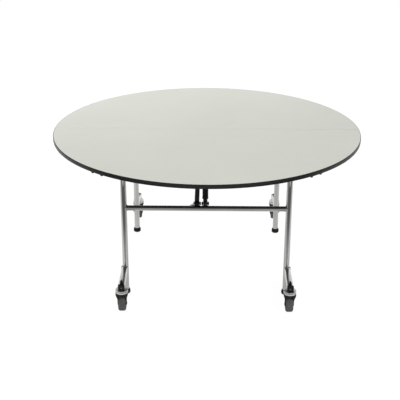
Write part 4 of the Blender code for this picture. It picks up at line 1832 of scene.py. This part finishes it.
@dataclass
class CastorWheel(CastorPart):
    """The wheel: a tyre on a ribbed hub."""

    shop: Workshop
    half: float = 0.018
    tyre_steps: int = 72
    shoulder: float = 0.010
    shoulder_steps: int = 9
    tyre_sink: float = 0.0022
    tyre_lip: float = 0.0008
    tyre_edge: float = 0.0006
    tread_out: float = 0.0046
    tread_in: float = 0.0030
    tread_slope: float = 0.0004
    tread_depth: float = 0.0005
    hub_radius: float = 0.0255
    hub_overlap: float = 0.0001
    hub_bore: float = 0.0045
    hub_boss: float = 0.0085
    hub_edge: float = 0.0006
    web_sink: float = 0.0097
    web_fillet: float = 0.0012
    rim_wall: float = 0.0026
    rim_foot: float = 0.0010
    rim_sink: float = 0.002

    @property
    def node(self) -> str:
        """The wheel's node and body, which share their name."""
        return self.label + "_wheel"

    def tyre(self) -> None:
        """The tyre, its tread crowned and grooved."""
        full, half, bend = SIZES.wheel_radius, self.half, self.shoulder
        floor = full - self.tread_depth
        upper = [(self.hub_radius, half - self.tyre_sink)]
        upper.append((self.hub_radius + self.tyre_lip, half - self.tyre_edge))
        upper += arc_points((full - bend, half - bend), bend, QUARTER, 0.0, self.shoulder_steps)
        upper += [(full, self.tread_out), (floor, self.tread_out - self.tread_slope)]
        upper += [(floor, self.tread_in + self.tread_slope), (full, self.tread_in)]
        work = bmesh.new()
        add_turned(work, mirrored(upper), crosswise(*self.axle), self.tyre_steps)
        name = self.node + "_tyre"
        settle(name, to_mesh(name, work), TYRE_RUBBER, self.node, self.node)

    def hub(self) -> None:
        """The hub inside the tyre: a boss, a thin web with ribs and a rim."""
        half, boss, edge = self.half, self.hub_boss, self.hub_edge
        rim = self.hub_radius + self.hub_overlap
        wall = rim - self.rim_wall
        web, fillet = half - self.web_sink, self.web_fillet
        face = half - self.rim_sink
        upper = [(self.hub_bore, half), (boss - edge, half), (boss, half - edge)]
        upper += [(boss, web + fillet), (boss + fillet, web)]
        upper += [(wall - self.rim_foot, web), (wall, web + fillet)]
        upper += [(wall, face - edge), (wall + edge, face), (rim, face)]
        place = crosswise(*self.axle)
        work = bmesh.new()
        add_turned(work, mirrored(upper), place)
        name = self.node + "_hub"
        settle(name, to_mesh(name, work), HUB_PLASTIC, self.node, self.node)
        ring = ring_points((boss + wall) / 2, self.shop.rib_count)
        spots = guide_points(self.node + "_spots", [Vector((x, y, 0.0)) for x, y in ring])
        name = self.node + "_ribs"
        mesh = self.shop.ribs.grow(name, spots, HUB_PLASTIC)
        mesh.transform(place)
        settle(name, mesh, HUB_PLASTIC, self.node)

    def build(self) -> None:
        """Builds the wheel and dresses it."""
        self.tyre()
        self.hub()


@dataclass
class Struts:
    """The link bar and the gas spring of one side."""

    side: Side
    eye_edge: float = 0.0008
    eye_steps: int = 40
    pin_bore: float = 0.0045
    hanger_bore: float = 0.0055
    link_radius: float = 0.0116
    link_eye: float = 0.0115
    link_width: float = 0.0225
    link_seat: float = 0.82
    link_edge: float = 0.0006
    rod_radius: float = 0.0092
    rod_eye: float = 0.0100
    rod_width: float = 0.019
    rod_length: float = 0.2473
    rod_seat: float = 0.8
    collar_radius: float = 0.0102
    collar_length: float = 0.0255
    collar_seat: float = 0.7
    collar_edge: float = 0.0005
    cylinder_radius: float = 0.014
    cylinder_start: float = 0.026
    cylinder_end: float = 0.016
    cylinder_floor: float = 0.016
    bore: float = 0.0100
    mouth_rise: float = 0.0006
    mouth_edge: float = 0.0008
    mouth_length: float = 0.0085
    mouth_foot: float = 0.0098
    groove_start: float = 0.016
    groove_end: float = 0.019
    groove_slope: float = 0.0008
    groove_depth: float = 0.0007
    rolled_end: tuple[Point2, ...] = ((0.0, 0.006), (0.0012, 0.002), (0.0045, 0.0))
    neck_sink: float = 0.001
    neck_clear: float = 0.007
    neck_edge: float = 0.0004

    def eye(self, work: WorkMesh, at: Vector, radius: float, width: float, bore: float) -> None:
        """Adds a round eye, its hole along X.

        Args:
            work: The working mesh.
            at: The eye's middle.
            radius: Its outer radius.
            width: Its width.
            bore: Its hole's radius.
        """
        half, edge = width / 2, self.eye_edge
        upper = [(bore, half), (radius - edge, half), (radius, half - edge)]
        add_turned(work, mirrored(upper), crosswise(*at), self.eye_steps)

    def link(self) -> None:
        """The black link bar between the crossbar and the hanger."""
        sign = self.side.value
        x = sign * SIZES.link_x
        start = Vector((x, sign * SIZES.leg_y, SIZES.eye_z))
        end = Vector((x, 0.0, SIZES.link_end_z))
        clear = (end - start).normalized() * self.link_eye * self.link_seat
        work = bmesh.new()
        add_rod(work, start + clear, end - clear, self.link_radius, self.link_edge)
        self.eye(work, start, self.link_eye, self.link_width, self.pin_bore)
        self.eye(work, end, self.link_eye, self.link_width, self.hanger_bore)
        name = self.side.label + "_link"
        settle(name + "_bar", to_mesh(name, work), STRUT_COAT, name, name)

    def rod(self, low: Vector, way: Vector) -> None:
        """The spring's rod with its eye and collar.

        Args:
            low: The pin on the crossbar.
            way: The direction from there to the upper pin.
        """
        work = bmesh.new()
        shaft = low + way * self.rod_eye * self.rod_seat, low + way * self.rod_length
        add_rod(work, *shaft, self.rod_radius)
        collar = low + way * self.rod_eye * self.collar_seat, low + way * self.collar_length
        add_rod(work, *collar, self.collar_radius, self.collar_edge)
        self.eye(work, low, self.rod_eye, self.rod_width, self.pin_bore)
        name = self.side.label + "_spring_rod"
        settle(name + "_shaft", to_mesh(name, work), SPRING_COAT, name, name)

    def cylinder(self, mouth: Vector, high: Vector, length: float) -> None:
        """The spring's cylinder, its mouth and end rolled, with the eye on a short neck.

        Args:
            mouth: The middle of its open end.
            high: The pin under the top.
            length: How long the cylinder is without its neck.
        """
        full, bore = self.cylinder_radius, self.bore
        lip, waist = full + self.mouth_rise, full - self.groove_depth
        floor = length - self.cylinder_floor
        profile = [(0.0, floor), (bore, floor), (bore, 0.0), (lip - self.mouth_edge, 0.0)]
        profile += [(lip, self.mouth_edge), (lip, self.mouth_length), (full, self.mouth_foot)]
        profile += [(full, self.groove_start), (waist, self.groove_start + self.groove_slope)]
        profile += [(waist, self.groove_end - self.groove_slope), (full, self.groove_end)]
        profile += [(full - inset, length - short) for inset, short in self.rolled_end]
        profile.append((0.0, length))
        work = bmesh.new()
        add_turned(work, profile, along(mouth, high))
        way = (high - mouth).normalized()
        neck = mouth + way * (length - self.neck_sink), high - way * self.neck_clear
        add_rod(work, *neck, self.rod_radius, self.neck_edge)
        self.eye(work, high, self.rod_eye, self.rod_width, self.pin_bore)
        name = self.side.label + "_spring_cylinder"
        settle(name + "_barrel", to_mesh(name, work), SPRING_COAT, name, name)

    def spring(self) -> None:
        """The gas spring between the crossbar and the top: a rod in a cylinder."""
        sign = self.side.value
        x = sign * SIZES.spring_x
        low = Vector((x, sign * SIZES.leg_y, SIZES.eye_z))
        high = Vector((x, sign * SIZES.spring_y, SIZES.pivot_z))
        way = (high - low).normalized()
        self.rod(low, way)
        length = (high - low).length - self.cylinder_start - self.cylinder_end
        self.cylinder(low + way * self.cylinder_start, high, length)

    def build(self) -> None:
        """Builds both struts and dresses them."""
        self.link()
        self.spring()


@dataclass
class FoldGear:
    """What the halves fold on: rails, hinge rod, hanger, leg brackets and pins."""

    nodes: dict[str, bpy.types.Object]
    shop: Workshop
    merge: float = 0.000002
    flat_angle: float = math.radians(0.6)
    edge: float = 0.0006
    edge_steps: int = 2
    edge_angle: float = math.radians(40.0)
    rail_screws: int = 10
    rail_screw_y: float = 0.051
    rail_screw_inset: float = 0.022
    tongue_screw_x: float = 0.017
    tongue_screw_y: float = 0.105
    bracket_inset: float = 0.0085

    @property
    def screw_z(self) -> float:
        """The height of the screwed plates' lower faces."""
        return SIZES.underside - SIZES.fit - SIZES.plate

    def softened(self, node: str, body: str, finish: Finish) -> None:
        """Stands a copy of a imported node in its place, merged, with its edges eased.

        Args:
            node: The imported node.
            body: The body that it belongs to.
            finish: Its finish.
        """
        work = bmesh.new()
        work.from_mesh(self.nodes[node].data)
        bmesh.ops.remove_doubles(work, verts=work.verts, dist=self.merge)
        bmesh.ops.dissolve_limit(work, angle_limit=self.flat_angle, verts=work.verts, edges=work.edges)
        holder = bpy.data.objects.new(node + "_plain", to_mesh(node + "_plain", work))
        bpy.context.scene.collection.objects.link(holder)
        bevel = holder.modifiers.new("eased", "BEVEL")
        bevel.width = self.edge
        bevel.segments = self.edge_steps
        bevel.limit_method = "ANGLE"
        bevel.angle_limit = self.edge_angle
        graph = bpy.context.evaluated_depsgraph_get()
        mesh = bpy.data.meshes.new_from_object(holder.evaluated_get(graph))
        mesh.name = node + "_eased"
        bpy.data.objects.remove(holder)
        smooth(mesh)
        settle(node + "_eased", mesh, finish, body, node)

    def rail_spots(self, side: Side) -> list[Vector]:
        """Where the screws of one hinge rail and its tongue sit.

        Args:
            side: The rail's side.

        Returns:
            The screws' places.
        """
        _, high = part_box(side.label + "_hinge_rail")
        span, last = high.x - self.rail_screw_inset, self.rail_screws - 1
        places = [(span * (2.0 * step / last - 1.0), self.rail_screw_y) for step in range(last + 1)]
        places += [(hand.value * self.tongue_screw_x, self.tongue_screw_y) for hand in Hand]
        return [Vector((x, side.value * y, self.screw_z)) for x, y in places]

    def bracket_spots(self, side: Side) -> list[Vector]:
        """Where the screws of a side's two leg brackets sit.

        Args:
            side: The brackets' side.

        Returns:
            The screws' places.
        """
        inset = self.bracket_inset
        spots = []
        for hand in Hand:
            low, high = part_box(corner_name(side, hand) + "_pivot_bracket")
            for x in (low.x + inset, high.x - inset):
                for y in (low.y + inset, high.y - inset):
                    spots.append(Vector((x, y, self.screw_z)))
        return spots

    def build(self) -> None:
        """Builds the fold gear and dresses it."""
        for side in Side:
            self.softened(side.label + "_hinge_rail", side.top, ENAMEL)
            for hand in Hand:
                self.softened(corner_name(side, hand) + "_pivot_bracket", side.top, ENAMEL)
                self.softened(corner_name(side, hand) + "_pivot_pin", side.top, ZINC)
            name = side.label + "_top_screws"
            spots = guide_points(name + "_spots", self.rail_spots(side) + self.bracket_spots(side))
            settle(name, self.shop.screws.grow(name, spots, ZINC), ZINC, side.top)
        self.softened("centre_hinge_rod", "front_top", ZINC)
        self.softened("centre_hanger", "centre_hanger", STRUT_COAT)


@dataclass
class RimBuffer:
    """A rubber strip with two round stops under the rim."""

    side: Side
    hand: Hand
    angle: float = math.radians(49.5)
    radius: float = 0.7475
    spacing: float = 0.057
    base_half: float = 0.008
    base_end: float = 0.009
    base: float = 0.003
    base_corner: float = 0.0045
    base_edge: float = 0.0007
    stop_radius: float = 0.006
    stop_flare: float = 0.0006
    stop_depth: float = 0.010
    stop_seat: float = 0.7
    stop_shape: tuple[Point2, ...] = ((1.0, 0.25), (1.0, 0.7), (0.93, 0.87), (0.7, 0.97))
    stop_steps: int = 32

    def stop(self) -> list[Point2]:
        """The profile of one round stop, hanging from its seat.

        Returns:
            Radius and height of each point.
        """
        drop = self.stop_depth - self.base * self.stop_seat
        profile = [(0.0, 0.0), (self.stop_radius + self.stop_flare, 0.0)]
        profile += [(self.stop_radius * across, -drop * down) for across, down in self.stop_shape]
        profile.append((0.0, -drop))
        return profile

    def build(self) -> None:
        """Builds the buffer and dresses it."""
        top = SIZES.underside - SIZES.fit
        across = self.hand.value * math.cos(self.angle)
        turn = Matrix.Rotation(math.atan2(self.side.value * math.sin(self.angle), across), 4, "Z")
        half = self.spacing / 2 + self.base_end
        low, high = (-self.base_half, -half), (self.base_half, half)
        outline = rounded_rectangle(low, high, self.base_corner)
        place = turn @ Matrix.Translation((self.radius, 0.0, top - self.base / 2))
        work = bmesh.new()
        add_slab(work, outline, self.base, place, self.base_edge)
        seat = top - self.base * self.stop_seat
        for end in Hand:
            spot = Matrix.Translation((self.radius, end.value * self.spacing / 2, seat))
            add_turned(work, self.stop(), turn @ spot, self.stop_steps)
        name = corner_name(self.side, self.hand) + "_rim_buffer"
        settle(name + "_strip", to_mesh(name, work), FOOT_RUBBER, self.side.top, name)


# Studio

# The Mix Shader node's two shaders, by place, because they share their name
SHADER_ONE, SHADER_TWO = 1, 2
WHITE = (1.0, 1.0, 1.0, 1.0)


@dataclass(frozen=True)
class SoftLamp:
    """A square lamp that mirrors don't show.

    Attributes:
        name: The lamp's name.
        at: Where it hangs.
        towards: The point that it faces.
        size: Its side.
        power: Its power in watts.
    """

    name: str
    at: Point3
    towards: Point3
    size: float
    power: float

    def hang(self) -> None:
        """Hangs the lamp in the scene."""
        data = bpy.data.lights.new(self.name, "AREA")
        data.size = self.size
        data.energy = self.power
        lamp = bpy.data.objects.new(self.name, data)
        bpy.context.scene.collection.objects.link(lamp)
        at = Vector(self.at)
        lamp.matrix_world = along(at, at * 2.0 - Vector(self.towards))
        lamp.visible_glossy = False


WINDOW_LAMP = SoftLamp("window_lamp", (-1.7, 2.9, 3.3), (0.0, 0.0, 0.7), size=2.6, power=125.0)
FRONT_LAMP = SoftLamp("front_lamp", (1.6, -3.4, 3.4), (0.0, 0.0, 0.4), size=2.4, power=60.0)


@dataclass
class Studio:
    """The white studio: floor, light and the camera at the photograph's angle."""

    eye: Point3 = (0.0, -4.2981, 2.1333)
    yaw: float = math.radians(-0.4392)
    pitch: float = math.radians(22.5936)
    roll: float = math.radians(0.2074)
    focal_pixels: float = 900.02
    frame_pixels: float = 400.0
    sensor: float = 36.0
    clip_end: float = 200.0
    floor_half: float = 60.0
    floor_z: float = -0.0003
    floor_tone: float = 0.80
    floor_glow: float = 1.07
    camera_share: float = 0.90
    mirror_share: float = 0.45
    world_given: float = 0.44
    world_mirror: float = 0.64
    card_dark: float = 0.16
    card_pale: float = 0.52
    card_near: float = -0.74
    card_fade: float = 0.42
    card_far: float = -1.80
    card_lift: float = 0.004
    card_half: float = 4.0
    flag_dark: float = 0.12
    flag_low: float = 0.4
    flag_high: float = 9.0
    flag_half: float = 8.0
    flag_front: float = -6.0
    flag_back: float = 6.0
    lamps: tuple[SoftLamp, ...] = (WINDOW_LAMP, FRONT_LAMP)

    def camera(self) -> None:
        """Sets up the camera."""
        ahead = math.cos(self.pitch)
        forward = Vector((math.sin(self.yaw) * ahead, math.cos(self.yaw) * ahead, -math.sin(self.pitch)))
        level = Vector((math.cos(self.yaw), -math.sin(self.yaw), 0.0))
        above = level.cross(forward)
        right = level * math.cos(self.roll) + above * math.sin(self.roll)
        up = above * math.cos(self.roll) - level * math.sin(self.roll)
        data = bpy.data.cameras.new("photo_camera")
        data.sensor_width = self.sensor
        data.lens = self.sensor * self.focal_pixels / self.frame_pixels
        data.clip_end = self.clip_end
        camera = bpy.data.objects.new("photo_camera", data)
        bpy.context.scene.collection.objects.link(camera)
        turn = Matrix((right, up, -forward)).transposed().to_4x4()
        camera.matrix_world = Matrix.Translation(self.eye) @ turn
        bpy.context.scene.camera = camera

    def seen(self, tree: NodeTree, camera: float, mirror: float) -> Socket:
        """How much of the plain white is shown to a ray.

        Args:
            tree: The tree that the nodes go in.
            camera: The share for rays from the camera.
            mirror: The share for rays off or through a piece.

        Returns:
            The value socket.
        """
        path = tree.nodes.new("ShaderNodeLightPath")
        total = reckon(tree, "MULTIPLY", path.outputs["Is Camera Ray"], camera)
        for name in ("Is Glossy Ray", "Is Transmission Ray"):
            scaled = reckon(tree, "MULTIPLY", path.outputs[name], mirror)
            total = reckon(tree, "MAXIMUM", total, scaled)
        return total

    def sheet(self, name: str, corners: list[Point3]) -> tuple[bpy.types.Object, NodeTree]:
        """A flat sheet of the studio with an empty material.

        Args:
            name: The sheet's name.
            corners: Its four corners.

        Returns:
            The sheet and its material's tree.
        """
        mesh = bpy.data.meshes.new(name)
        mesh.from_pydata(corners, [], [(0, 1, 2, 3)])
        sheet = bpy.data.objects.new(name, mesh)
        bpy.context.scene.collection.objects.link(sheet)
        material = bpy.data.materials.new(name)
        material.use_nodes = True
        material.node_tree.nodes.clear()
        mesh.materials.append(material)
        return sheet, material.node_tree

    def floor(self) -> None:
        """The white floor, which keeps a faint shadow."""
        half, z = self.floor_half, self.floor_z
        corners = [(-half, -half, z), (half, -half, z), (half, half, z), (-half, half, z)]
        floor, tree = self.sheet("studio_floor", corners)
        matt = tree.nodes.new("ShaderNodeBsdfDiffuse")
        matt.inputs["Color"].default_value = (self.floor_tone, self.floor_tone, self.floor_tone, 1.0)
        glow = tree.nodes.new("ShaderNodeEmission")
        glow.inputs["Strength"].default_value = self.floor_glow
        mix = tree.nodes.new("ShaderNodeMixShader")
        tree.links.new(self.seen(tree, self.camera_share, self.mirror_share), mix.inputs["Fac"])
        tree.links.new(matt.outputs["BSDF"], mix.inputs[SHADER_ONE])
        tree.links.new(glow.outputs["Emission"], mix.inputs[SHADER_TWO])
        output = tree.nodes.new("ShaderNodeOutputMaterial")
        tree.links.new(mix.outputs["Shader"], output.inputs["Surface"])

    def faded(self, tree: NodeTree) -> Socket:
        """The floor card's tone, which fades along Y into the pale floor.

        Args:
            tree: The card's tree.

        Returns:
            The value socket.
        """
        place = tree.nodes.new("ShaderNodeTexCoord")
        split = tree.nodes.new("ShaderNodeSeparateXYZ")
        tree.links.new(place.outputs["Object"], split.inputs["Vector"])
        level = tree.nodes.new("ShaderNodeMapRange")
        level.inputs["From Min"].default_value = self.card_near - self.card_fade
        level.inputs["From Max"].default_value = self.card_near
        level.inputs["To Min"].default_value = self.card_dark
        level.inputs["To Max"].default_value = self.card_pale
        tree.links.new(split.outputs["Y"], level.inputs["Value"])
        return level.outputs["Result"]

    def card(self, name: str, corners: list[Point3], fade: bool) -> None:
        """A dark card out of the picture that only glossy faces reflect.

        Args:
            name: The card's name.
            corners: Its four corners.
            fade: Whether it fades along Y into the pale floor.
        """
        card, tree = self.sheet(name, corners)
        glow = tree.nodes.new("ShaderNodeEmission")
        glow.inputs["Strength"].default_value = self.flag_dark
        if fade:
            tree.links.new(self.faded(tree), glow.inputs["Strength"])
        output = tree.nodes.new("ShaderNodeOutputMaterial")
        tree.links.new(glow.outputs["Emission"], output.inputs["Surface"])
        card.visible_camera = False
        card.visible_diffuse = False
        card.visible_shadow = False
        card.visible_transmission = False

    def cards(self) -> None:
        """The dark card on the floor before the table and the dark flags round its front."""
        half, lift = self.card_half, self.card_lift
        far, near = self.card_far, self.card_near
        corners = [(-half, far, lift), (half, far, lift), (half, near, lift), (-half, near, lift)]
        self.card("floor_card", corners, fade=True)
        low, high, wide = self.flag_low, self.flag_high, self.flag_half
        front, back = self.flag_front, self.flag_back
        edges = {
            "front_flag": ((-wide, front), (wide, front)),
            "left_flag": ((-wide, back), (-wide, front)),
            "right_flag": ((wide, front), (wide, back)),
        }
        for name, (one, two) in edges.items():
            self.card(name, [(*one, low), (*two, low), (*two, high), (*one, high)], fade=False)

    def world(self) -> None:
        """White for what is seen, and a softer grey for the light that it gives."""
        world = bpy.data.worlds.new("studio")
        bpy.context.scene.world = world
        world.use_nodes = True
        tree = world.node_tree
        tree.nodes.clear()
        output = tree.nodes.new("ShaderNodeOutputWorld")
        shown = tree.nodes.new("ShaderNodeBackground")
        given = tree.nodes.new("ShaderNodeBackground")
        for background, strength in ((shown, 1.0), (given, self.world_given)):
            background.inputs["Color"].default_value = WHITE
            background.inputs["Strength"].default_value = strength
        mix = tree.nodes.new("ShaderNodeMixShader")
        tree.links.new(self.seen(tree, 1.0, self.world_mirror), mix.inputs["Fac"])
        tree.links.new(given.outputs["Background"], mix.inputs[SHADER_ONE])
        tree.links.new(shown.outputs["Background"], mix.inputs[SHADER_TWO])
        tree.links.new(mix.outputs["Shader"], output.inputs["Surface"])

    def build(self) -> None:
        """Builds the studio."""
        self.camera()
        self.floor()
        self.world()
        self.cards()
        for lamp in self.lamps:
            lamp.hang()
        bpy.context.scene.view_settings.view_transform = "Standard"


def main() -> None:
    """Builds the studio and the table's sub-assemblies in order."""
    logging.basicConfig(level=logging.INFO, format="%(message)s")
    for thing in list(bpy.data.objects):
        bpy.data.objects.remove(thing)
    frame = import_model()
    nodes = frame["nodes"]
    Studio().build()
    shop = Workshop()
    for side in Side:
        HalfTop(side).build(nodes)
        LegFrame(side, shop).build()
        Struts(side).build()
        for hand in Hand:
            CastorHead(side, hand).build()
            CastorFork(side, hand).build()
            CastorWheel(side, hand, shop).build()
            RimBuffer(side, hand).build()
    FoldGear(nodes, shop).build()


if __name__ == "__main__":
    main()
